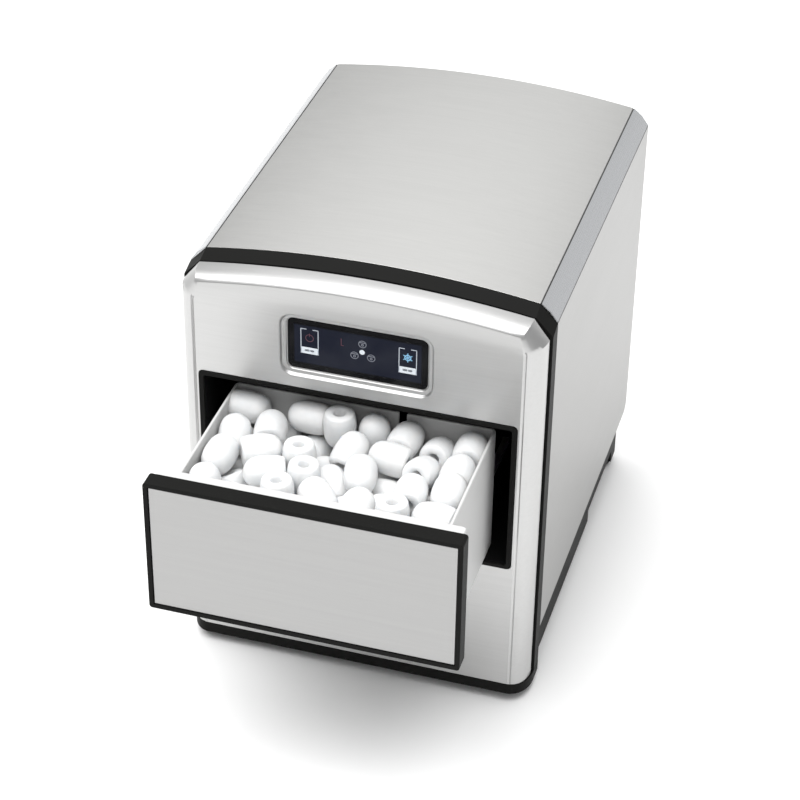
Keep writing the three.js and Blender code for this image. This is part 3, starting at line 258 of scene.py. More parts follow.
@dataclass(frozen=True)
class Finish:
    """A finish of the object's pieces: its slot, colour and gloss."""

    name: str
    slot: str | None
    colour: Colour
    roughness: float = 0.5

    def lay(self, recipe: Recipe) -> None:
        """Lays out the finish's nodes.

        Args:
            recipe: The material to fill.
        """
        grain = recipe.noise(recipe.place(), 900.0, 3.0)
        cloud = recipe.noise(recipe.place(), 28.0, 2.0)
        tone = 0.90 + 0.2 * cloud
        recipe.set(Base_Color=self.toned(recipe, tone), Roughness=self.roughness - 0.06 + 0.12 * grain)
        recipe.bump(grain, 0.00006)

    def toned(self, recipe: Recipe, tone: Signal, spread: float = 0.12) -> Signal:
        """The finish's colour, darker and lighter by a pattern.

        Args:
            recipe: The material.
            tone: The pattern, around 1.
            spread: How far the colours go apart.

        Returns:
            The colour.
        """
        dark = tuple(part * (1 - spread) for part in self.colour)
        light = tuple(min(1.0, part * (1 + spread)) for part in self.colour)
        return recipe.blend((tone - 0.5).clamped(), dark, light)

    def material(self) -> bpy.types.Material:
        """The finish's material, made on first use.

        Returns:
            The material.
        """
        found = bpy.data.materials.get(self.name)
        if found:
            return found
        recipe = Recipe(self.name)
        self.lay(recipe)
        return recipe.material


@dataclass(frozen=True)
class BrushedSteel(Finish):
    """Stainless sheet with fine brushing lines that run one way."""

    run: Run = Run.ACROSS
    depth: float = 0.000016

    def lay(self, recipe: Recipe) -> None:
        """Lays fine lines, broad streaks and faint handling clouds.

        Args:
            recipe: The material to fill.
        """
        fine = recipe.noise(recipe.place(self.run.value), 2600.0, 3.0, 0.6)
        broad = recipe.noise(recipe.place(self.run.value), 420.0, 2.0, 0.5)
        cloud = recipe.noise(recipe.place(), 9.0, 2.0)
        lines = 0.55 * fine + 0.45 * broad
        tone = lines * 1.1 + cloud * 0.1 + 0.4
        recipe.set(
            Base_Color=self.toned(recipe, tone, 0.09),
            Roughness=self.roughness + (lines - 0.5) * 0.16 + (cloud - 0.5) * 0.03,
            Metallic=1.0,
        )
        recipe.bump(lines, self.depth)


@dataclass(frozen=True)
class Moulding(Finish):
    """Moulded plastic with a fine spark-eroded grain."""

    grain: float = 1400.0
    depth: float = 0.00003
    coat: float = 0.0
    shine: float = 0.5

    def lay(self, recipe: Recipe) -> None:
        """Lays the grain and slight clouding of the gloss.

        Args:
            recipe: The material to fill.
        """
        grain = recipe.noise(recipe.place(), self.grain, 2.0)
        cloud = recipe.noise(recipe.place(), 22.0, 3.0)
        recipe.set(
            Base_Color=self.toned(recipe, 0.8 + 0.4 * cloud, 0.08),
            Roughness=self.roughness + (grain - 0.5) * 0.16 + (cloud - 0.5) * 0.1,
            Coat_Weight=self.coat,
            Specular_IOR_Level=self.shine,
        )
        recipe.bump(grain, self.depth)


@dataclass(frozen=True)
class Metal(Finish):
    """Bare or drawn metal with tarnish in clouds and light scratches."""

    tarnish: Colour = (0.3, 0.3, 0.3)
    reach: float = 0.35

    def lay(self, recipe: Recipe) -> None:
        """Lays tarnish clouds, scratches and a slight unevenness.

        Args:
            recipe: The material to fill.
        """
        cloud = recipe.noise(recipe.place(), 60.0, 5.0, 0.65)
        scratch = recipe.noise(recipe.place((1.0, 0.08, 1.0)), 900.0, 3.0)
        worn = cloud.step(0.42, 0.75) * self.reach
        recipe.set(
            Base_Color=recipe.blend(worn, self.colour, self.tarnish),
            Roughness=self.roughness + worn * 0.4 + (scratch - 0.5) * 0.15,
            Metallic=1.0,
        )
        recipe.bump(scratch, 0.00003)


@dataclass(frozen=True)
class CircuitBoard(Finish):
    """Green solder mask with copper tracks under it and tinned pads."""

    def lay(self, recipe: Recipe) -> None:
        """Lays tracks from a block pattern, and bright pads.

        Args:
            recipe: The material to fill.
        """
        where = recipe.place()
        settings = {"distance": "CHEBYCHEV"}
        cells = recipe.add("ShaderNodeTexVoronoi", settings, {"Vector": where, "Scale": 190.0})
        pads = recipe.add("ShaderNodeTexVoronoi", {}, {"Vector": where, "Scale": 420.0})
        track = cells.step(0.30, 0.34)
        pad = 1 - pads.step(0.16, 0.2)
        green = recipe.blend(track, self.colour, tuple(part * 1.9 for part in self.colour))
        recipe.set(
            Base_Color=recipe.blend(pad, green, (0.62, 0.62, 0.60)),
            Metallic=pad,
            Roughness=0.42 - pad * 0.12,
        )
        recipe.bump(track, 0.00004)


@dataclass(frozen=True)
class DisplayGlass(Finish):
    """Black glass, bluish and a little lighter in the display's field."""

    low: Colour = (0.0, 0.0, 0.0)
    high: Colour = (0.0, 0.0, 0.0)
    field_tone: Colour = (0.006, 0.007, 0.0135)
    border: float = 0.0052

    def lay(self, recipe: Recipe) -> None:
        """Lays the field's soft-edged rectangle and faint wiping marks.

        Args:
            recipe: The material to fill.
        """
        where = recipe.place()
        inside = None
        for index in (0, 2):
            middle = (self.low[index] + self.high[index]) / 2
            reach = (self.high[index] - self.low[index]) / 2 - self.border
            edge = 1 - abs(recipe.axis(where, index) - middle).step(reach - 0.0006, reach + 0.0012)
            inside = edge if inside is None else inside * edge
        wipe = recipe.noise(recipe.place((1.0, 1.0, 2.5)), 60.0, 4.0)
        recipe.set(
            Base_Color=recipe.blend(inside, self.colour, self.field_tone),
            Emission_Color=recipe.blend(inside, (0.0, 0.0, 0.0), (0.006, 0.0075, 0.013)),
            Emission_Strength=1.0,
            Roughness=0.10 + wipe * 0.08,
            Specular_IOR_Level=0.14,
        )


@dataclass(frozen=True)
class Print(Finish):
    """A printed and back-lit mark of the display."""

    glow: float = 0.6

    def lay(self, recipe: Recipe) -> None:
        """Lays the mark's ink, slightly uneven, and its light.

        Args:
            recipe: The material to fill.
        """
        ink = recipe.noise(recipe.place(), 1500.0, 2.0)
        colour = self.toned(recipe, 0.6 + 0.8 * ink, 0.25)
        recipe.set(Base_Color=colour, Roughness=self.roughness)
        recipe.set(Emission_Color=colour, Emission_Strength=self.glow)


@dataclass(frozen=True)
class FrostedIce(Finish):
    """Cloudy white ice, frosted and a little wet."""

    def lay(self, recipe: Recipe) -> None:
        """Lays cloudy and clearer patches, frost and melt ripples.

        Args:
            recipe: The material to fill.
        """
        cloud = recipe.noise(recipe.place(), 55.0, 4.0, 0.55)
        frost = recipe.noise(recipe.place(), 420.0, 3.0)
        ripple = recipe.noise(recipe.place(), 130.0, 2.0)
        clear = cloud.step(0.35, 0.72)
        recipe.set(
            Base_Color=recipe.blend(clear, self.colour, (0.74, 0.75, 0.755)),
            Roughness=0.30 + 0.22 * frost,
            IOR=1.31,
            Subsurface_Weight=0.7,
            Subsurface_Radius=(1.0, 1.05, 1.1),
            Subsurface_Scale=0.008,
            Coat_Weight=0.12,
            Coat_Roughness=0.2,
        )
        recipe.bump(ripple * 0.8 + frost * 0.2, 0.0007, 0.6)


class Finishes:
    """Every finish of the ice maker."""

    # The roof, fascia, drawer insert and side and rear panels are one stainless steel in lit and shaded
    # copies. Painted light gives the roof the lightest base colour. Painted shade makes the fascia's darker,
    # and the insert's and the side and rear panels' darker still, each set to how bright its panel shows
    # under the light.
    roof = BrushedSteel("roof_steel_painted_light", "stainless", (0.585, 0.583, 0.57), 0.36, Run.ACROSS)
    fascia = BrushedSteel("fascia_steel_painted_shade", "stainless", (0.515, 0.514, 0.51), 0.36, depth=0.000008)
    insert = BrushedSteel("drawer_steel_painted_shade", "stainless", (0.375, 0.373, 0.37), 0.38, depth=0.000008)
    side = BrushedSteel("side_steel_painted_shade", "stainless", (0.345, 0.343, 0.338), 0.38, Run.BACK)
    trim = BrushedSteel("corner_satin_steel", "bright_trim", (0.53, 0.538, 0.55), 0.27, Run.BACK)
    black = Moulding("black_moulding", "black_plastic", (0.0105, 0.0105, 0.0100), 0.45, shine=0.04)
    cavity = Moulding("bay_black", "cavity_plastic", (0.003, 0.003, 0.0033), 0.6, shine=0.2)
    white = Moulding("white_moulding", "white_plastic", (0.60, 0.60, 0.595), 0.45, shine=0.1)
    grey = Moulding("grey_nylon", "grey_plastic", (0.45, 0.46, 0.47), 0.45)
    rubber = Moulding("rubber", "rubber", (0.018, 0.018, 0.018), 0.8, 700.0, 0.00008)
    copper = Metal("drawn_copper", "copper", (0.72, 0.36, 0.21), 0.3, (0.30, 0.13, 0.07))
    fins = Metal("aluminium_fins", "aluminium_fins", (0.60, 0.61, 0.62), 0.38, (0.35, 0.36, 0.37))
    zinc = Metal("zinc_plated", "zinc_steel", (0.56, 0.57, 0.58), 0.38, (0.42, 0.40, 0.33))
    enamel = Moulding("black_enamel", "black_enamel", (0.015, 0.015, 0.016), 0.3, 300.0, 0.00012, 0.4)
    board = CircuitBoard("circuit_board", "circuit_board", (0.012, 0.10, 0.045), 0.4)
    ice = FrostedIce("frosted_ice", None, (0.80, 0.803, 0.803))
    pale_print = Print("pale_print", "black_glass", (0.50, 0.54, 0.60), 0.5, 0.16)
    dim_print = Print("dim_print", "black_glass", (0.15, 0.16, 0.19), 0.5, 0.25)
    red_print = Print("red_print", "black_glass", (0.075, 0.022, 0.036), 0.5, 0.30)
    blue_print = Print("blue_print", "black_glass", (0.20, 0.42, 0.62), 0.5, 0.25)
    white_print = Print("white_print", "black_glass", (0.62, 0.66, 0.70), 0.5, 0.25)


# ---------------------------------------------------------------------------
# Modelling
# ---------------------------------------------------------------------------


class Part(Enum):
    """What is picked in edit mode."""

    CORNERS = 0
    EDGES = 1
    FACES = 2


def clear_selection() -> None:
    """Leaves edit mode and deselects every object."""
    active = bpy.context.view_layer.objects.active
    if active and active.mode != "OBJECT":
        bpy.ops.object.mode_set(mode="OBJECT")
    bpy.ops.object.select_all(action="DESELECT")


class Piece:
    """A piece on the bench, which picks its own faces, edges and corners and has operators shape them."""

    def __init__(self, shape: bpy.types.Object, name: str) -> None:
        """Takes an object to the bench.

        Args:
            shape: The mesh object.
            name: The piece's name.
        """
        self.shape = shape
        shape.name = shape.data.name = name

    @classmethod
    def block(cls, name: str, low: Iterable[float], high: Iterable[float]) -> "Piece":
        """A block between two corners.

        Args:
            name: The piece's name.
            low: Its lowest corner.
            high: Its highest corner.

        Returns:
            The piece.
        """
        low, high = Vector(low), Vector(high)
        clear_selection()
        bpy.ops.mesh.primitive_cube_add(size=1, location=(low + high) / 2)
        bpy.context.object.scale = high - low
        return cls(bpy.context.object, name).applied()

    @classmethod
    def sheet(cls, name: str, x: tuple[float, float], z: tuple[float, float], y: float) -> "Piece":
        """An upright sheet that faces the front.

        Args:
            name: The piece's name.
            x: Its left and right.
            z: Its bottom and top.
            y: Its place.

        Returns:
            The piece.
        """
        clear_selection()
        middle = ((x[0] + x[1]) / 2, y, (z[0] + z[1]) / 2)
        bpy.ops.mesh.primitive_plane_add(size=1, location=middle, rotation=(math.pi / 2, 0, 0))
        bpy.context.object.scale = (x[1] - x[0], z[1] - z[0], 1)
        return cls(bpy.context.object, name).applied()

    @classmethod
    def rod(cls, name: str, radius: float, length: float, middle: Iterable[float], sides: int) -> "Piece":
        """An upright round bar.

        Args:
            name: The piece's name.
            radius: Its radius.
            length: Its length.
            middle: Its centre.
            sides: The number of its sides.

        Returns:
            The piece.
        """
        clear_selection()
        bpy.ops.mesh.primitive_cylinder_add(
            vertices=sides, radius=radius, depth=length, location=Vector(middle)
        )
        return cls(bpy.context.object, name).applied()

    @classmethod
    def of_node(cls, node: str) -> "Piece":
        """A copy of a CAD node with its triangles merged into whole faces.

        Args:
            node: The CAD node's name.

        Returns:
            The piece.
        """
        clear_selection()
        mesh = frame["nodes"][node].data.copy()
        shape = bpy.data.objects.new(node + "_finished", mesh)
        bpy.context.scene.collection.objects.link(shape)
        piece = cls(shape, node + "_finished")
        piece.pick(Part.CORNERS)
        bpy.ops.mesh.customdata_custom_splitnormals_clear()
        bpy.ops.mesh.remove_doubles(threshold=2 * MERGE)
        bpy.ops.mesh.dissolve_limited(angle_limit=math.radians(0.6))
        return piece

    def activate(self, mode: str = "OBJECT") -> None:
        """Makes this the only selected piece.

        Args:
            mode: The mode that it is put in.
        """
        if bpy.context.view_layer.objects.active != self.shape or not self.shape.select_get():
            clear_selection()
            self.shape.select_set(True)
            bpy.context.view_layer.objects.active = self.shape
        if self.shape.mode != mode:
            bpy.ops.object.mode_set(mode=mode)

    def applied(self) -> "Piece":
        """The piece with its place, turn and size put in its mesh."""
        self.activate()
        bpy.ops.object.transform_apply(location=True, rotation=True, scale=True)
        return self

    def pick(self, part: Part, wanted: Wanted = lambda place, lie: True) -> int:
        """Selects corners, edges or faces.

        Args:
            part: What to select.
            wanted: The test, given an element's place and its normal (an edge's direction).

        Returns:
            The number selected.
        """
        self.activate("EDIT")
        bpy.context.tool_settings.mesh_select_mode = tuple(part.value == i for i in range(3))
        net = bmesh.from_edit_mesh(self.shape.data)
        net.select_mode = {("VERT", "EDGE", "FACE")[part.value]}
        for item in (*net.verts, *net.edges, *net.faces):
            item.select = False
        count = 0
        for item in (net.verts, net.edges, net.faces)[part.value]:
            if part is Part.CORNERS:
                place, lie = item.co, item.normal
            elif part is Part.EDGES:
                ends = [corner.co for corner in item.verts]
                place, lie = (ends[0] + ends[1]) / 2, (ends[1] - ends[0]).normalized()
            else:
                place, lie = item.calc_center_median(), item.normal
            if wanted(place.copy(), lie):
                item.select_set(True)
                count += 1
        net.select_flush_mode()
        bmesh.update_edit_mesh(self.shape.data)
        return count

    def pick_rim(self, wanted: Wanted) -> None:
        """Selects the open edges of a sheet that pass a test.

        Args:
            wanted: The test on an edge's middle and its run from end to end.
        """
        self.pick(Part.EDGES, lambda place, lie: False)
        net = bmesh.from_edit_mesh(self.shape.data)
        for edge in net.edges:
            ends = [corner.co for corner in edge.verts]
            if edge.is_boundary and wanted((ends[0] + ends[1]) / 2, ends[1] - ends[0]):
                edge.select_set(True)
        net.select_flush_mode()
        bmesh.update_edit_mesh(self.shape.data)

    def ring_at_rim(self) -> set[Vector]:
        """The places of the corners on the sheet's open rim."""
        net = bmesh.from_edit_mesh(self.shape.data)
        return {corner.co.copy().freeze() for corner in net.verts if corner.is_boundary}

    def move(self, by: Iterable[float]) -> None:
        """Moves what is picked."""
        bpy.ops.transform.translate(value=tuple(by))

    def stretch(self, factors: Iterable[float], centre: Iterable[float]) -> None:
        """Scales what is picked about a point."""
        bpy.ops.transform.resize(value=tuple(factors), center_override=tuple(centre))

    def extrude(self, by: Iterable[float] = (0.0, 0.0, 0.0)) -> None:
        """Extrudes what is picked."""
        bpy.ops.mesh.extrude_region_move(TRANSFORM_OT_translate={"value": tuple(by)})

    def inset(self, width: float, depth: float = 0.0) -> None:
        """Insets the picked faces by a width and a depth."""
        bpy.ops.mesh.inset(thickness=width, depth=depth, use_boundary=True)

    def round_edges(self, width: float, segments: int, wanted: Wanted) -> None:
        """Rounds the edges that pass a test.

        Args:
            width: The radius.
            segments: The number of steps.
            wanted: The test on an edge's place and direction.
        """
        if self.pick(Part.EDGES, wanted):
            bpy.ops.mesh.bevel(offset=width, segments=segments, affect="EDGES", profile=0.5)

    def modify(self, kind: str, **settings: object) -> None:
        """Adds a modifier and applies it.

        Args:
            kind: The modifier's type.
            settings: Its settings.
        """
        self.activate()
        modifier = self.shape.modifiers.new(kind.title(), kind)
        for name, value in settings.items():
            setattr(modifier, name, value)
        bpy.ops.object.modifier_apply(modifier=modifier.name)

    def soften(self, width: float, segments: int = 2, angle: float = 32.0) -> None:
        """Breaks every sharp edge with a small radius.

        Args:
            width: The radius.
            segments: The number of steps.
            angle: The least angle that counts as sharp, in degrees.
        """
        self.modify(
            "BEVEL", width=width, segments=segments, limit_method="ANGLE",
            angle_limit=math.radians(angle), use_clamp_overlap=True,
        )

    def merge_with(self, other: "Piece", operation: str) -> None:
        """Joins, cuts or intersects with another piece, which is used up.

        Args:
            other: The other piece.
            operation: UNION, DIFFERENCE or INTERSECT.
        """
        other.activate()
        self.modify("BOOLEAN", operation=operation, object=other.shape, solver="EXACT")
        bpy.data.objects.remove(other.shape)

    def outwards(self) -> None:
        """Turns every face outwards."""
        self.pick(Part.FACES)
        bpy.ops.mesh.normals_make_consistent(inside=False)

    def finish(
        self, finish: Finish, body: str, replaces: tuple[str, ...] = (), smooth: float | None = 34.0
    ) -> bpy.types.Object:
        """Shades, dresses and mounts the piece.

        Args:
            finish: Its finish.
            body: The CAD body that it rides on.
            replaces: The CAD nodes that it stands for.
            smooth: The sharpest angle that is shaded smooth, in degrees.

        Returns:
            The finished object.
        """
        self.activate()
        if smooth:
            bpy.ops.object.shade_smooth_by_angle(angle=math.radians(smooth))
            self.modify("WEIGHTED_NORMAL", keep_sharp=True, weight=80)
        self.shape.data.materials.clear()
        self.shape.data.materials.append(finish.material())
        clear_selection()
        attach(self.shape, body)
        if replaces:
            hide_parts(*replaces)
        LOG.info("%s: %d faces, %s", self.shape.name, len(self.shape.data.polygons), finish.name)
        return self.shape


def refine(nodes: Iterable[str], finish: Finish, radius: float = 0.0004, segments: int = 2) -> None:
    """Remakes CAD nodes with whole faces, broken edges and a finish.

    Args:
        nodes: The nodes' names.
        finish: Their finish.
        radius: The radius of their edges.
        segments: The steps of each radius.
    """
    for node in nodes:
        piece = Piece.of_node(node)
        piece.soften(radius, segments)
        piece.finish(finish, frame["nodes"][node]["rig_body"], (node,))


# ---------------------------------------------------------------------------
# The cabinet
# ---------------------------------------------------------------------------


@dataclass
class Cabinet:
    """Roof, corner strips, side and rear panels, and the black hoop behind the fascia."""

    edge: float = 0.0004
    hoop_edge: float = 0.0012
    seal_width: float = 0.0013
    roof_seal: tuple[float, float] = (0.0002, 0.0009)  # inwards and down from the strip's inner top edge
    side_seal: tuple[float, float] = (0.0007, 0.0003)  # inwards and down from its outer bottom edge

    def build(self) -> None:
        """Builds the shell."""
        refine(["roof_panel"], Finishes.roof, self.edge)
        refine(["corner_trim_left", "corner_trim_right"], Finishes.trim, 0.0005, 3)
        refine(["side_panel_left", "side_panel_right", "rear_panel"], Finishes.side, self.edge)
        refine([f"rear_screw_{i}" for i in range(1, 5)], Finishes.zinc, 0.0003)
        refine(["front_hoop"], Finishes.black, self.hoop_edge, 4)
        self.seals()

    def seals(self) -> None:
        """Lays the black seals in the joints beside the bevelled corner strips."""
        for side, sign in (("left", -1), ("right", 1)):
            low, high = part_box(f"corner_trim_{side}")
            inner, outer = (high.x, low.x) if sign < 0 else (low.x, high.x)
            inwards, down = self.roof_seal
            self.seal(f"roof_seal_{side}", inner - sign * inwards, low.y, high.y, high.z - down)
            inwards, down = self.side_seal
            self.seal(f"side_seal_{side}", outer - sign * inwards, low.y, high.y, low.z - down)

    def seal(self, name: str, x: float, front: float, back: float, z: float) -> None:
        """A thin rubber seal along a joint.

        Args:
            name: Its name.
            x: Its middle across.
            front: Its front end.
            back: Its back end.
            z: Its middle's height.
        """
        half = self.seal_width / 2
        piece = Piece.block(name, (x - half, front + MM, z - half), (x + half, back - MM, z + half))
        piece.round_edges(half * 0.5, 2, lambda place, lie: abs(lie.y) > SQUARE)
        piece.finish(Finishes.rubber, "cabinet")


def grown(full: float, share: float) -> float:
    """A factor at a share of the way from 1 to its full value."""
    return 1 + (full - 1) * share


@dataclass
class Fascia:
    """The pressed front: rolled rims with a crease, a dish round the display, the drawer's opening."""

    rim_width: float = 0.0165
    rim_drop: float = 0.006
    roll_steps: int = 12
    ease: float = 0.015  # gentle start of the roll at the top
    ease_back: float = 0.0011
    ease_steps: int = 5
    corner_drop: float = 0.0242  # where the side crease ends under the crown
    corner_inset: float = 0.003
    corner_reach: float = 0.1284  # half the width of the rolled top where it meets the hoop's bevel
    corner_span: float = 0.1205
    corner_window: float = 0.0012  # corners this near a level belong to it
    groove_depth: float = 0.0016
    groove_profile: tuple[tuple[float, float, float], ...] = (  # share out, share back, share of the depth
        (0.02, 0.0, 0.0), (0.06, 0.004, 0.55), (0.10, 0.010, 1.0),
        (0.13, 0.016, 1.0), (0.17, 0.024, 0.55), (0.21, 0.036, 0.0),
    )
    groove_turns: int = 3  # the roll's steps that the crease takes up
    side_gap: float = 0.0018
    lip: float = 0.0006
    back_gap: float = 0.0022  # the steel stops this much short of the hoop
    back_tuck: float = 0.0012
    columns: int = 28
    sheet: float = 0.0015
    gap: float = 0.0004
    glass_radius: float = 0.005
    opening_radius: float = 0.004
    dish_profile: tuple[tuple[float, float], ...] = (
        (6.4, 0.0), (6.0, 0.05), (5.65, 0.2), (5.35, 0.45), (5.15, 0.8), (4.4, 2.3), (4.2, 2.6), (3.9, 2.8),
        (3.4, 2.9), (2.0, 3.0), (1.5, 3.1), (1.2, 3.4), (1.0, 4.0), (0.4, 4.4),
    )

    def build(self) -> None:
        """Builds the fascia."""
        low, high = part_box("front_fascia")
        piece = self.face(low, high)
        self.roll(piece, low, high)
        piece.pick(Part.FACES)
        bpy.ops.mesh.remove_doubles(threshold=MERGE)
        piece.outwards()
        if piece.pick(Part.FACES, lambda place, lie: lie.y > SQUARE and place.y < low.y + 0.0001):
            piece.pick(Part.FACES)
            bpy.ops.mesh.flip_normals()
        piece.modify("SOLIDIFY", thickness=self.sheet, offset=-1.0, use_even_offset=False)
        self.press_dish(piece, low)
        self.cut_opening(piece, low)
        piece.finish(Finishes.fascia, "cabinet", ("front_fascia",), 28.0)

    def face(self, low: Vector, high: Vector) -> Piece:
        """The flat face with its arched top.

        Args:
            low: The fascia's lowest corner.
            high: Its highest corner.

        Returns:
            The sheet.
        """
        crease = high.x - self.rim_width
        shoulder = high.z - self.rim_drop - self.corner_drop
        arch = self.corner_drop - self.ease
        piece = Piece.sheet("fascia_pressing", (-crease, crease), (low.z, shoulder), low.y)
        piece.pick(Part.EDGES, lambda place, lie: place.z > shoulder - MM)
        bpy.ops.mesh.subdivide(number_cuts=self.columns - 1)
        pitch = 2 * crease / self.columns
        for i in range(1, self.columns):
            x = -crease + i * pitch
            rise = arch * (1 - (x / crease) ** 2)
            piece.pick(Part.CORNERS, lambda place, lie: abs(place.x - x) < MM and place.z > shoulder - MM)
            piece.move((0, 0, rise))
        return piece

    def roll(self, piece: Piece, low: Vector, high: Vector) -> None:
        """Eases the top back, then rolls the sides and top round to the hoop.

        Args:
            piece: The sheet.
            low: The fascia's lowest corner.
            high: Its highest corner.
        """
        crease = high.x - self.rim_width
        crown = high.z - self.rim_drop
        shoulder = crown - self.corner_drop
        self.ease_top(piece, crease, shoulder)
        reach = high.x - self.side_gap
        full = reach / crease
        tall = (high.z - low.z) / (crown - low.z)
        levels = self.levels(crease, reach, shoulder)
        travel = high.y - low.y - self.ease_back - self.back_gap
        out, back, sunk = 0.0, 0.0, 0.0
        for next_out, next_back, groove in self.stops():
            wider = grown(full, next_out) / grown(full, out)
            rise = grown(tall, next_out)
            piece.pick_rim(lambda place, lie: place.z > low.z + 0.1 * MM)
            piece.extrude()
            piece.stretch((wider, 1, rise / grown(tall, out)), (0, 0, low.z))
            piece.move((0, (next_back - back) * travel, 0))
            for level, ratio in levels:
                height = low.z + (level - low.z) * rise
                top = level == levels[-1][0]
                self.pick_level(piece, height, shoulder if top else None)
                piece.stretch((grown(ratio, next_out) / grown(ratio, out) / wider, 1, 1), (0, 0, 0))
            ring = piece.ring_at_rim()
            side_top = low.z + (shoulder - low.z) * rise + MM
            piece.pick(Part.CORNERS, lambda place, lie: place.z < side_top and place.freeze() in ring)
            piece.move((0, (groove - sunk) * self.groove_depth, 0))
            out, back, sunk = next_out, next_back, groove
        piece.pick_rim(lambda place, lie: place.z > low.z + 0.1 * MM)
        piece.extrude((0, self.lip, 0))
        tuck = 1 - self.back_tuck / high.x
        piece.stretch((tuck, 1, tuck), (0, 0, low.z))

    def ease_top(self, piece: Piece, crease: float, shoulder: float) -> None:
        """Leans the arched top back in a few steps, each a little narrower.

        Args:
            piece: The sheet.
            crease: Half the face's width.
            shoulder: The height where the arch starts.
        """
        steps = self.ease_steps
        for i in range(steps):
            piece.pick_rim(lambda place, lie: place.z > shoulder - MM and abs(lie.x) > abs(lie.z) * 0.8)
            back = self.ease_back * (((i + 1) / steps) ** 2 - (i / steps) ** 2)
            piece.extrude((0, back, self.ease / steps))
            narrow = 1 - self.corner_inset / crease / steps
            piece.stretch((narrow, 1, 1), (0, 0, 0))

    def levels(self, crease: float, reach: float, shoulder: float) -> list[tuple[float, float]]:
        """The heights over the shoulder, and how much wider the sheet is there after the roll.

        Args:
            crease: Half the face's width.
            reach: Half the rolled front's width.
            shoulder: The height where the corner starts.

        Returns:
            A height and a factor for each step of the corner.
        """
        found = []
        for k in range(1, self.ease_steps + 1):
            share = k / self.ease_steps
            now = crease - self.corner_inset * share
            then = reach - (reach - self.corner_reach) * share
            found.append((shoulder + self.ease * share, then / now))
        return found

    def stops(self) -> list[tuple[float, float, float]]:
        """The rings that the sheet is rolled through.

        Returns:
            For each, the share of the way out, of the way back, and of the groove's depth.
        """
        rings = list(self.groove_profile)
        for i in range(self.groove_turns, self.roll_steps + 1):
            turn = i / self.roll_steps * math.pi / 2
            rings.append((math.sin(turn), 1 - math.cos(turn), 0.0))
        return rings

    def pick_level(self, piece: Piece, height: float, shoulder: float | None) -> None:
        """Selects the rim's corners at a height near the sides, and the whole arch at the last height.

        Args:
            piece: The sheet.
            height: The height.
            shoulder: The height where the arch starts, given with the last height only.
        """
        ring = piece.ring_at_rim()
        span, window = self.corner_span, self.corner_window

        def wanted(place: Vector, lie: Vector) -> bool:
            """Whether a corner belongs to the level or to the arch."""
            beside = abs(place.z - height) < window and abs(place.x) > span
            arched = shoulder is not None and place.z > shoulder + 2 * MM and abs(place.x) <= span
            return place.freeze() in ring and (beside or arched)

        piece.pick(Part.CORNERS, wanted)

    def press_dish(self, piece: Piece, low: Vector) -> None:
        """Presses the dish round the display and cuts the hole for its glass.

        Args:
            piece: The fascia.
            low: Its lowest corner.
        """
        glass_low, glass_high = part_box("display_window")
        for wall, operation in ((self.sheet, "UNION"), (0.0, "DIFFERENCE")):
            grow = self.dish_profile[0][0] * MM + wall
            front = low.y + (0.5 * MM if wall else -4 * MM)
            radius = self.glass_radius + grow
            mass = self.rounded_block("dish", glass_low, glass_high, grow, front, low.y + wall, radius)
            mass.pick(Part.FACES, lambda place, lie: lie.y > SQUARE)
            for (wide, deep), (less, deeper) in zip(self.dish_profile, self.dish_profile[1:]):
                mass.inset((wide - less) * MM, (deeper - deep) * MM)
            piece.merge_with(mass, operation)
        back, radius = low.y + 12 * MM, self.glass_radius
        hole = self.rounded_block("glass_hole", glass_low, glass_high, self.gap, low.y, back, radius)
        piece.merge_with(hole, "DIFFERENCE")

    def cut_opening(self, piece: Piece, low: Vector) -> None:
        """Cuts the drawer's opening.

        Args:
            piece: The fascia.
            low: Its lowest corner.
        """
        ring_low, ring_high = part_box("drawer_surround")
        front, back, radius = low.y - 3 * MM, low.y + 6 * MM, self.opening_radius
        cutter = self.rounded_block("opening", ring_low, ring_high, self.gap, front, back, radius)
        piece.merge_with(cutter, "DIFFERENCE")

    @staticmethod
    def rounded_block(
        name: str, low: Vector, high: Vector, grow: float, front: float, back: float, radius: float
    ) -> Piece:
        """A block with upright rounded edges round a box's front outline.

        Args:
            name: Its name.
            low: The box's lowest corner.
            high: The box's highest corner.
            grow: How far it reaches past the outline.
            front: Its front.
            back: Its back.
            radius: Its corners' radius.

        Returns:
            The block.
        """
        block = Piece.block(name, (low.x - grow, front, low.z - grow), (high.x + grow, back, high.z + grow))
        block.round_edges(radius, 8, lambda place, lie: abs(lie.y) > SQUARE)
        return block


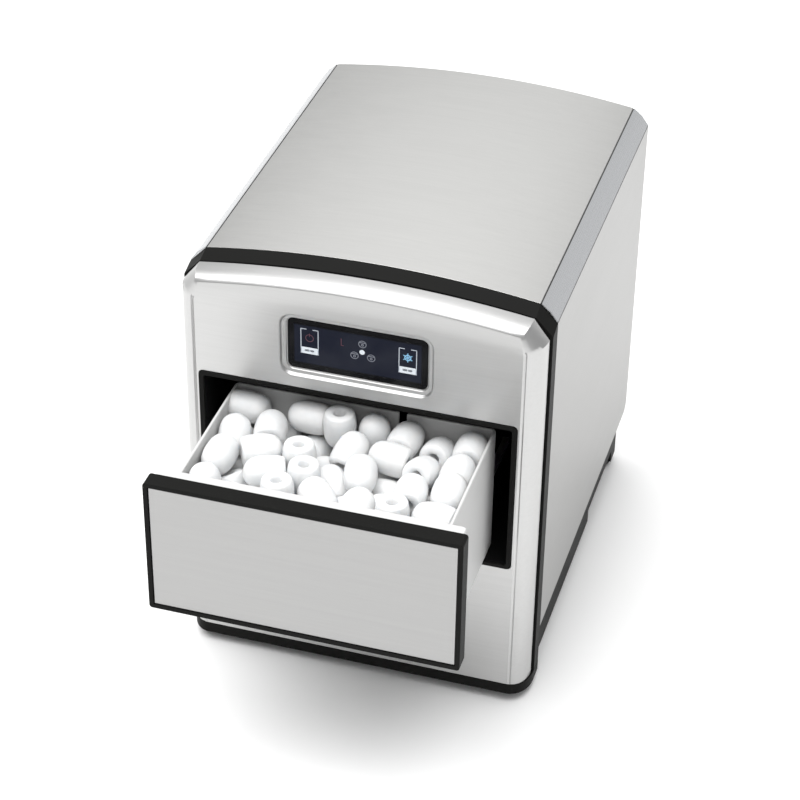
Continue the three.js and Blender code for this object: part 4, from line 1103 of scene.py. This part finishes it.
@dataclass
class Display:
    """The glass of the display and the marks printed on it."""

    proud: float = 0.00006
    print_gap: float = 0.00002  # the prints lie this much before the glass
    star_gap: float = 0.00003
    key_size: tuple[float, float] = (14.0, 21.6)
    key_line: float = 0.6

    def build(self) -> None:
        """Builds the glass, its marks and what holds it."""
        self.low, self.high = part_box("display_window")
        glass = DisplayGlass(
            "display_glass", "black_glass", (0.004, 0.004, 0.005), 0.1, tuple(self.low), tuple(self.high)
        )
        refine(["display_window"], glass, 0.0004, 3)
        refine(["display_housing"], Finishes.black)
        refine(["display_board"], Finishes.board, 0.0002)
        self.key("left_key", -37.2, 18.6, Finishes.pale_print)
        self.key("right_key", 38.7, 20.6, Finishes.pale_print)
        self.ring("power_ring", -37.2, 15.4, 3.0, 0.55, Finishes.red_print, 24)
        self.bar("power_stroke", -37.2, 12.8, 0.55, 3.0, Finishes.red_print)
        self.snow_star(38.7, 17.4)
        self.bar("mark_tick", -12.6, 13.8, 0.6, 6.2, Finishes.red_print)
        self.bar("mark_foot", -11.6, 16.7, 2.0, 0.6, Finishes.red_print)
        self.ring("dot", 3.6, 19.6, 1.05, 2.1, Finishes.white_print, 16)
        for name, x, down in (("small", 3.8, 12.6), ("medium", -2.3, 23.4), ("large", 10.6, 23.4)):
            self.cup(name, x, down)

    def at(self, x: float, down: float) -> tuple[float, float]:
        """The place of a mark in the object's frame, from millimetres off the middle and below the top."""
        return x * MM, self.high.z - down * MM

    def lay(self, piece: Piece, finish: Finish) -> None:
        """Gives a flat mark its thickness and its print."""
        piece.modify("SOLIDIFY", thickness=self.proud, offset=1.0)
        piece.finish(finish, "cabinet", (), None)

    def bar(self, name: str, x: float, down: float, wide: float, tall: float, finish: Finish) -> None:
        """A small bar with rounded ends.

        Args:
            name: Its name.
            x: Its middle across.
            down: Its middle below the glass's top.
            wide: Its width in millimetres.
            tall: Its height in millimetres.
            finish: Its print.
        """
        middle_x, middle_z = self.at(x, down)
        reach, rise = wide * MM / 2, tall * MM / 2
        across, upright = (middle_x - reach, middle_x + reach), (middle_z - rise, middle_z + rise)
        piece = Piece.sheet(name, across, upright, self.low.y - self.print_gap)
        piece.pick(Part.CORNERS)
        bpy.ops.mesh.bevel(offset=min(reach, rise) * 0.5, segments=3, affect="VERTICES")
        self.lay(piece, finish)

    def ring(
        self, name: str, x: float, down: float, radius: float, line: float, finish: Finish, sides: int
    ) -> None:
        """A ring, or a dot where the line is twice the radius.

        Args:
            name: Its name.
            x: Its middle across.
            down: Its middle below the glass's top.
            radius: The radius of its line.
            line: The line's width.
            finish: Its print.
            sides: The number of its sides.
        """
        middle_x, middle_z = self.at(x, down)
        clear_selection()
        bpy.ops.mesh.primitive_circle_add(
            vertices=sides, radius=(radius + line / 2) * MM, fill_type="NGON",
            location=(middle_x, self.low.y - self.print_gap, middle_z), rotation=(math.pi / 2, 0, 0),
        )
        piece = Piece(bpy.context.object, name).applied()
        if line < 2 * radius:
            piece.pick(Part.FACES)
            piece.inset(line * MM)
            bpy.ops.mesh.delete(type="FACE")
        self.lay(piece, finish)

    def key(self, name: str, x: float, down: float, finish: Finish) -> None:
        """A touch key's frame, open at the top, over a label bar.

        Args:
            name: Its name.
            x: Its middle across.
            down: Its middle below the glass's top.
            finish: Its print.
        """
        wide, tall = self.key_size
        line = self.key_line
        for side, sign in (("left", -1), ("right", 1)):
            self.bar(f"{name}_{side}", x + sign * (wide - line) / 2, down, line, tall, finish)
            self.bar(f"{name}_top_{side}", x + sign * wide * 0.33, down - tall / 2, wide * 0.32, line, finish)
        self.bar(f"{name}_label", x, down + tall / 2 - 2.9, wide, 5.6, Finishes.white_print)
        for i, length in enumerate((3.4, 3.0)):
            across, below = x - 2.0 + 4.0 * i, down + tall / 2 - 2.9
            self.bar(f"{name}_word_{i}", across, below, length, 1.7, Finishes.dim_print)

    def snow_star(self, x: float, down: float) -> None:
        """A six-armed snow star round a small ring.

        Args:
            x: Its middle across.
            down: Its middle below the glass's top.
        """
        self.ring("star_ring", x, down, 2.3, 0.8, Finishes.blue_print, 18)
        middle_x, middle_z = self.at(x, down)
        for i in range(3):
            turn = i * math.pi / 3
            piece = Piece.sheet(
                f"star_arm_{i}", (middle_x - 0.35 * MM, middle_x + 0.35 * MM),
                (middle_z - 4.0 * MM, middle_z + 4.0 * MM), self.low.y - self.star_gap,
            )
            piece.pick(Part.CORNERS)
            bpy.ops.mesh.bevel(offset=0.25 * MM, segments=2, affect="VERTICES")
            bpy.ops.mesh.select_all(action="SELECT")
            bpy.ops.transform.rotate(
                value=turn, orient_axis="Y", center_override=(middle_x, self.low.y, middle_z)
            )
            self.lay(piece, Finishes.blue_print)

    def cup(self, name: str, x: float, down: float) -> None:
        """A small outlined cup that stands for a size of ice.

        Args:
            name: Its name.
            x: Its middle across.
            down: Its middle below the glass's top.
        """
        self.ring(f"cup_{name}", x, down, 2.9, 0.6, Finishes.dim_print, 20)
        self.bar(f"cup_{name}_lid", x, down - 1.3, 4.6, 0.7, Finishes.dim_print)
        self.ring(f"cup_{name}_core", x, down + 0.7, 0.8, 0.6, Finishes.dim_print, 12)


@dataclass
class Bay:
    """The drawer's bay: surround, liner, runners and the ice sensor."""

    def build(self) -> None:
        """Builds the bay."""
        refine(["drawer_surround"], Finishes.black, 0.0005, 3)
        refine(["drawer_liner"], Finishes.cavity, 0.0006)
        refine(["runner_left", "runner_right"], Finishes.grey, 0.0006)
        refine(["ice_sensor"], Finishes.black)


@dataclass
class Drawer:
    """The drawer: front frame, steel insert, inner panel, rails and the bin."""

    def build(self) -> None:
        """Builds the drawer."""
        refine(["drawer_frame"], Finishes.black, 0.0007, 3)
        refine(["drawer_skin"], Finishes.insert, 0.0006, 3)
        refine(["drawer_inner_panel"], Finishes.white, 0.0009, 3)
        refine(["ice_bin"], Finishes.white, 0.0008, 3)
        refine(["drawer_rail_left", "drawer_rail_right"], Finishes.grey, 0.0005)


@dataclass
class IceLoad:
    """Bullet-shaped pieces of ice, dropped into the bin and left to settle."""

    radius: float = 0.0132
    length: float = 0.0306
    hole: float = 0.0052
    count: int = 108
    columns: int = 6
    rows: int = 3
    frames: int = 190
    scale: float = 10.0  # the drop is worked out at a larger size, where contacts are more exact
    seed: int = 5
    overfill: float = 0.0042  # no piece of ice stands more than this over the bin's rim
    lid_rise: float = 0.0028  # the load is levelled this much over the rim
    lid_fall: tuple[int, int] = (70, 15)  # frames before the end at which the lid starts and stops
    lid_height: float = 4.0
    tub_board: float = 1.0  # the thickness of the tub's walls and lid, at the size of the drop
    wall: float = 0.0026
    floor: float = 0.0086  # the bin's floor over its lowest point
    tub_reach: float = 9.0
    substeps: int = 12
    solver_rounds: int = 20
    quick_frames: int = 20
    friction: float = 0.12
    damping: tuple[float, float] = (0.05, 0.25)  # of the fall and of the turning
    rim_round: float = 0.035
    dome_round: float = 0.115
    end_height: float = 0.1  # the stand-in's ends lie past this
    margin: float = 0.004
    layer_rise: float = 0.40
    sides: int = 14
    mouth: float = 0.90  # the flat end's radius as a share of the widest
    rings: tuple[tuple[float, float], ...] = (  # radius and drop of each ring down to the dome
        (0.97, 0.06), (1.0, 0.22), (0.985, 0.20), (0.93, 0.16), (0.80, 0.14), (0.56, 0.10), (0.28, 0.045),
    )

    def build(self) -> None:
        """Models one bullet, settles the load and joins it into one piece."""
        bullet = self.bullet()
        places = self.settled()
        low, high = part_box("ice_bin")
        kept = []
        for place in places:
            shape = bullet.shape.copy()
            shape.data = bullet.shape.data.copy()
            shape.data.transform(place)
            top = max(corner.co.z for corner in shape.data.vertices)
            inside = all(
                low.x < corner.co.x < high.x and low.y < corner.co.y < high.y and corner.co.z > low.z
                for corner in shape.data.vertices
            )
            if top < high.z + self.overfill and inside:
                bpy.context.scene.collection.objects.link(shape)
                kept.append(shape)
        bpy.data.objects.remove(bullet.shape)
        clear_selection()
        for shape in kept:
            shape.select_set(True)
        bpy.context.view_layer.objects.active = kept[0]
        bpy.ops.object.join()
        load = Piece(bpy.context.object, "ice_load")
        load.activate()
        LOG.info("%d pieces of ice of %d", len(kept), len(places))
        bpy.ops.object.shade_smooth()
        load.finish(Finishes.ice, "drawer", (), None)

    def bullet(self) -> Piece:
        """One piece of ice: a tapered bullet with a domed end and a hole up its flat end.

        Returns:
            The piece, upright about the origin with its dome down.
        """
        top = self.length / 2
        thick = self.length * 0.06
        middle = (0, 0, top - self.length * 0.03)
        piece = Piece.rod("bullet", self.radius * self.mouth, thick, middle, self.sides)
        piece.pick(Part.FACES, lambda place, lie: lie.z < -SQUARE)
        wide = self.mouth
        for wider, drop in self.rings:
            piece.extrude((0, 0, -drop * self.length))
            piece.stretch((wider / wide, wider / wide, 1), (0, 0, 0))
            wide = wider
        piece.inset(self.radius * 0.12, 0.0006)
        piece.pick(Part.FACES, lambda place, lie: lie.z > SQUARE)
        piece.inset(self.radius * 0.16, 0.0009)
        piece.inset(self.radius * 0.74 - self.hole)
        piece.extrude((0, 0, -0.0016))
        piece.stretch((0.88, 0.88, 1), (0, 0, 0))
        piece.extrude((0, 0, -0.4 * self.length))
        piece.stretch((0.75, 0.75, 1), (0, 0, 0))
        piece.inset(self.hole * 0.3, 0.001)
        piece.modify("SUBSURF", levels=1, render_levels=1)
        return piece

    def settled(self) -> list[Matrix]:
        """Drops the load into the bin.

        Returns:
            Each piece's place and turn, in the object's frame.
        """
        low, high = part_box("ice_bin")
        middle = Vector(((low.x + high.x) / 2, (low.y + high.y) / 2, low.z + self.floor))
        reach = Vector(((high.x - low.x) / 2 - self.wall, (high.y - low.y) / 2 - self.wall, 0)) * self.scale
        scene = bpy.context.scene
        scene.frame_set(1)
        clear_selection()
        bpy.ops.rigidbody.world_add()
        world = scene.rigidbody_world
        world.substeps_per_frame, world.solver_iterations = self.substeps, self.solver_rounds
        world.point_cache.frame_start, world.point_cache.frame_end = 1, self.frames
        tub = self.tub(reach)
        stand_in = self.stand_in()
        loose = self.scattered(stand_in.shape, reach)
        tub.append(self.lid(tub[-1], (high.z - middle.z + self.lid_rise) * self.scale))
        for number in range(1, self.frames + 1):
            scene.frame_set(number)
        graph = bpy.context.evaluated_depsgraph_get()
        places = []
        for shape in loose:
            turned = shape.evaluated_get(graph).matrix_world
            where = middle + turned.translation / self.scale
            places.append(Matrix.Translation(where) @ turned.to_quaternion().to_matrix().to_4x4())
        bpy.ops.rigidbody.world_remove()
        for shape in (*loose, *tub, stand_in.shape):
            bpy.data.objects.remove(shape)
        scene.frame_set(1)
        return places

    def tub(self, reach: Vector) -> list[bpy.types.Object]:
        """The tub's floor and four walls.

        Args:
            reach: Half its inner width and depth.

        Returns:
            Its boxes.
        """
        thick, tall, far = self.tub_board, self.tub_reach, self.tub_reach
        boxes = [
            ((-far, -far, -thick), (far, far, 0)),
            ((-reach.x - thick, -far, 0), (-reach.x, far, tall)),
            ((reach.x, -far, 0), (reach.x + thick, far, tall)),
            ((-far, -reach.y - thick, 0), (far, -reach.y, tall)),
            ((-far, reach.y, 0), (far, reach.y + thick, tall)),
        ]
        made = []
        for start, end in boxes:
            start, end = Vector(start), Vector(end)
            clear_selection()
            bpy.ops.mesh.primitive_cube_add(size=1, location=(start + end) / 2)
            shape = bpy.context.object
            shape.scale = end - start
            bpy.ops.object.transform_apply(location=False, rotation=False, scale=True)
            bpy.ops.rigidbody.object_add(type="PASSIVE")
            self.grip(shape, "BOX")
            made.append(shape)
        return made

    def grip(self, shape: bpy.types.Object, collision: str) -> None:
        """Sets how a body of the drop collides.

        Args:
            shape: The body.
            collision: The form that it collides with.
        """
        shape.rigid_body.collision_shape = collision
        shape.rigid_body.friction, shape.rigid_body.restitution = self.friction, 0.0
        shape.rigid_body.use_margin, shape.rigid_body.collision_margin = True, self.margin

    def stand_in(self) -> Piece:
        """A simple rounded bullet that falls in place of the modelled one.

        Returns:
            The piece, at the size of the drop.
        """
        radius, length = self.radius * self.scale, self.length * self.scale
        piece = Piece.rod("stand_in", radius, length, (0, 0, 0), self.sides)
        end = self.end_height
        piece.round_edges(self.rim_round, 2, lambda place, lie: place.z > end and abs(lie.z) < 0.1)
        piece.round_edges(self.dome_round, 3, lambda place, lie: place.z < -end and abs(lie.z) < 0.1)
        piece.activate()
        return piece

    def scattered(self, stand_in: bpy.types.Object, reach: Vector) -> list[bpy.types.Object]:
        """The load in layers over the tub, each piece turned at random.

        Args:
            stand_in: The piece that is copied.
            reach: Half the tub's inner width and depth.

        Returns:
            The loose pieces.
        """
        draw = random.Random(self.seed)
        loose = []
        pitch_x, pitch_y = 2 * reach.x / self.columns, 2 * reach.y / self.rows
        for i in range(self.count):
            layer, spot = divmod(i, self.columns * self.rows)
            column, row = spot % self.columns, spot // self.columns
            shape = stand_in.copy()
            shape.data = stand_in.data
            bpy.context.scene.collection.objects.link(shape)
            shape.location = (
                -reach.x + (column + 0.5) * pitch_x + draw.uniform(-0.01, 0.01),
                -reach.y + (row + 0.5) * pitch_y + draw.uniform(-0.03, 0.03),
                0.25 + self.layer_rise * layer,
            )
            shape.rotation_euler = Euler([draw.uniform(0, math.tau) for _ in range(3)])
            clear_selection()
            shape.select_set(True)
            bpy.context.view_layer.objects.active = shape
            bpy.ops.rigidbody.object_add(type="ACTIVE")
            shape.rigid_body.mass = 1.0
            shape.rigid_body.linear_damping, shape.rigid_body.angular_damping = self.damping
            self.grip(shape, "CONVEX_HULL")
            loose.append(shape)
        return loose

    def lid(self, wall: bpy.types.Object, level: float) -> bpy.types.Object:
        """A lid that comes down near the end and levels the load.

        Args:
            wall: A wall of the tub, which is copied and laid flat.
            level: How high its underside stops.

        Returns:
            The lid.
        """
        lid = wall.copy()
        bpy.context.scene.collection.objects.link(lid)
        clear_selection()
        lid.select_set(True)
        bpy.context.view_layer.objects.active = lid
        rest = level + self.tub_board / 2
        lid.rotation_euler = (math.pi / 2, 0, 0)
        lid.location = (0, 0, rest)
        if lid.rigid_body is None:
            bpy.ops.rigidbody.object_add(type="PASSIVE")
        lid.rigid_body.kinematic = True
        lid.rigid_body.collision_shape = "BOX"
        start, stop = (self.frames - before for before in self.lid_fall)
        for number, rise in ((1, self.lid_height), (start, self.lid_height), (stop, 0.0), (self.frames, 0.0)):
            lid.location.z = rest + rise
            lid.keyframe_insert("location", frame=number)
        return lid


@dataclass
class Base:
    """The base pan and its rubber feet."""

    def build(self) -> None:
        """Builds the base."""
        refine(["base_pan"], Finishes.black, 0.0008, 3)
        corners = [f"foot_{end}_{side}" for end in ("front", "rear") for side in ("left", "right")]
        refine(corners, Finishes.rubber, 0.0006)


@dataclass
class IceWorks:
    """What freezes and harvests the ice, and the water system under it."""

    def build(self) -> None:
        """Builds the ice chamber, tank, pump and hose."""
        refine(["evaporator", "evaporator_coil"], Finishes.copper, 0.0003)
        refine(["water_tray", "chamber_side_left", "chamber_side_right", "ice_ramp"], Finishes.white, 0.0004)
        refine(["water_tank", "fill_hose"], Finishes.white, 0.0005)
        refine(["ice_pusher", "level_float"], Finishes.grey, 0.0004)
        refine(["tray_motor"], Finishes.zinc, 0.0005)
        refine(["water_pump"], Finishes.black, 0.0005)


@dataclass
class CoolingCircuit:
    """Compressor, condenser, fan and the copper pipes between them."""

    def build(self) -> None:
        """Builds the circuit."""
        refine(["compressor"], Finishes.enamel, 0.0015, 3)
        refine([f"compressor_mount_{i}" for i in (1, 2, 3)], Finishes.rubber)
        refine(["condenser"], Finishes.fins, 0.0003)
        refine(["fan_shroud", "fan_blades"], Finishes.black, 0.0003)
        refine(["fan_motor", "hot_gas_valve"], Finishes.zinc, 0.0005)
        refine(["filter_drier", "discharge_pipe", "suction_pipe", "capillary_tube"], Finishes.copper, 0.0002)


@dataclass
class Services:
    """Control board, cord gland and drain."""

    def build(self) -> None:
        """Builds the small parts."""
        refine(["control_board"], Finishes.board, 0.0003)
        refine(["cord_gland", "drain_spout"], Finishes.black, 0.0005)
        refine(["drain_cap"], Finishes.rubber, 0.0005)


@dataclass
class Studio:
    """A pale floor, soft lights and the camera."""

    eye: Colour = (0.4397, -1.50512, 1.27539)
    forward: Colour = (-0.23015, 0.788997, -0.569662)
    down: Colour = (0.174235, -0.542509, -0.821782)
    lens: float = 107.04
    sensor: float = 36.0
    lamps: tuple[tuple[str, Colour, float, float], ...] = (  # name, place, size and power
        ("key", (-0.6, -0.8, 5.0), 6.0, 430.0),
        ("roof_glow", (-0.55, 2.05, 2.2), 1.7, 7.0),
        ("right_glow", (1.5, 2.0, 0.9), 1.3, 2.2),
        ("left_fill", (-2.0, -0.9, 1.6), 2.2, 2.5),
    )
    aim: Colour = (0.0, 0.0, 0.2)
    room_glow: float = 0.52
    floor_size: float = 14.0
    floor_gap: float = 0.0003

    def build(self) -> None:
        """Sets the stage."""
        self.floor()
        self.world()
        for name, place, size, power in self.lamps:
            self.light(name, place, size, power)
        self.camera()
        bpy.context.scene.view_settings.view_transform = "Standard"

    def floor(self) -> None:
        """A broad pale floor with a faint unevenness."""
        clear_selection()
        bpy.ops.mesh.primitive_plane_add(size=self.floor_size, location=(0, 0, -self.floor_gap))
        floor = Piece(bpy.context.object, "floor").applied()
        recipe = Recipe("pale_floor")
        cloud = recipe.noise(recipe.place(), 1.5, 3.0)
        recipe.set(Base_Color=recipe.blend(cloud, (0.94, 0.94, 0.935), (0.97, 0.97, 0.97)), Roughness=0.7)
        floor.shape.data.materials.append(recipe.material)

    def world(self) -> None:
        """A grey room, so the floor and the lamps outshine the horizon."""
        world = bpy.data.worlds.new("grey_room")
        bpy.context.scene.world = world
        world.use_nodes = True
        inputs = world.node_tree.nodes["Background"].inputs
        inputs["Color"].default_value = (0.96, 0.965, 0.97, 1.0)
        inputs["Strength"].default_value = self.room_glow

    def light(self, name: str, place: Colour, size: float, power: float) -> None:
        """A square soft light aimed at the object.

        Args:
            name: Its name.
            place: Its place.
            size: Its side.
            power: Its power in watts.
        """
        lamp = bpy.data.lights.new(name, "AREA")
        lamp.size, lamp.energy = size, power
        holder = bpy.data.objects.new(name, lamp)
        holder.location = place
        aim = Vector(self.aim) - Vector(place)
        holder.rotation_euler = aim.to_track_quat("-Z", "Y").to_euler()
        bpy.context.scene.collection.objects.link(holder)

    def camera(self) -> None:
        """The camera, a little above the front right."""
        back = -Vector(self.forward).normalized()
        up = -Vector(self.down)
        across = up.cross(back).normalized()
        up = back.cross(across)
        data = bpy.data.cameras.new("camera")
        data.lens, data.sensor_width = self.lens, self.sensor
        data.clip_start, data.clip_end = 0.05, 50.0
        camera = bpy.data.objects.new("camera", data)
        camera.matrix_world = Matrix.Translation(self.eye) @ Matrix((across, up, back)).transposed().to_4x4()
        bpy.context.scene.collection.objects.link(camera)
        bpy.context.scene.camera = camera


def main() -> None:
    """Builds every sub-assembly in order, then the studio."""
    logging.basicConfig(level=logging.INFO, format="%(name)s: %(message)s")
    for assembly in (
        Cabinet(), Fascia(), Display(), Bay(), Drawer(), IceLoad(), Base(), IceWorks(), CoolingCircuit(),
        Services(), Studio(),
    ):
        LOG.info("building %s", type(assembly).__name__)
        assembly.build()


if __name__ == "__main__":
    main()
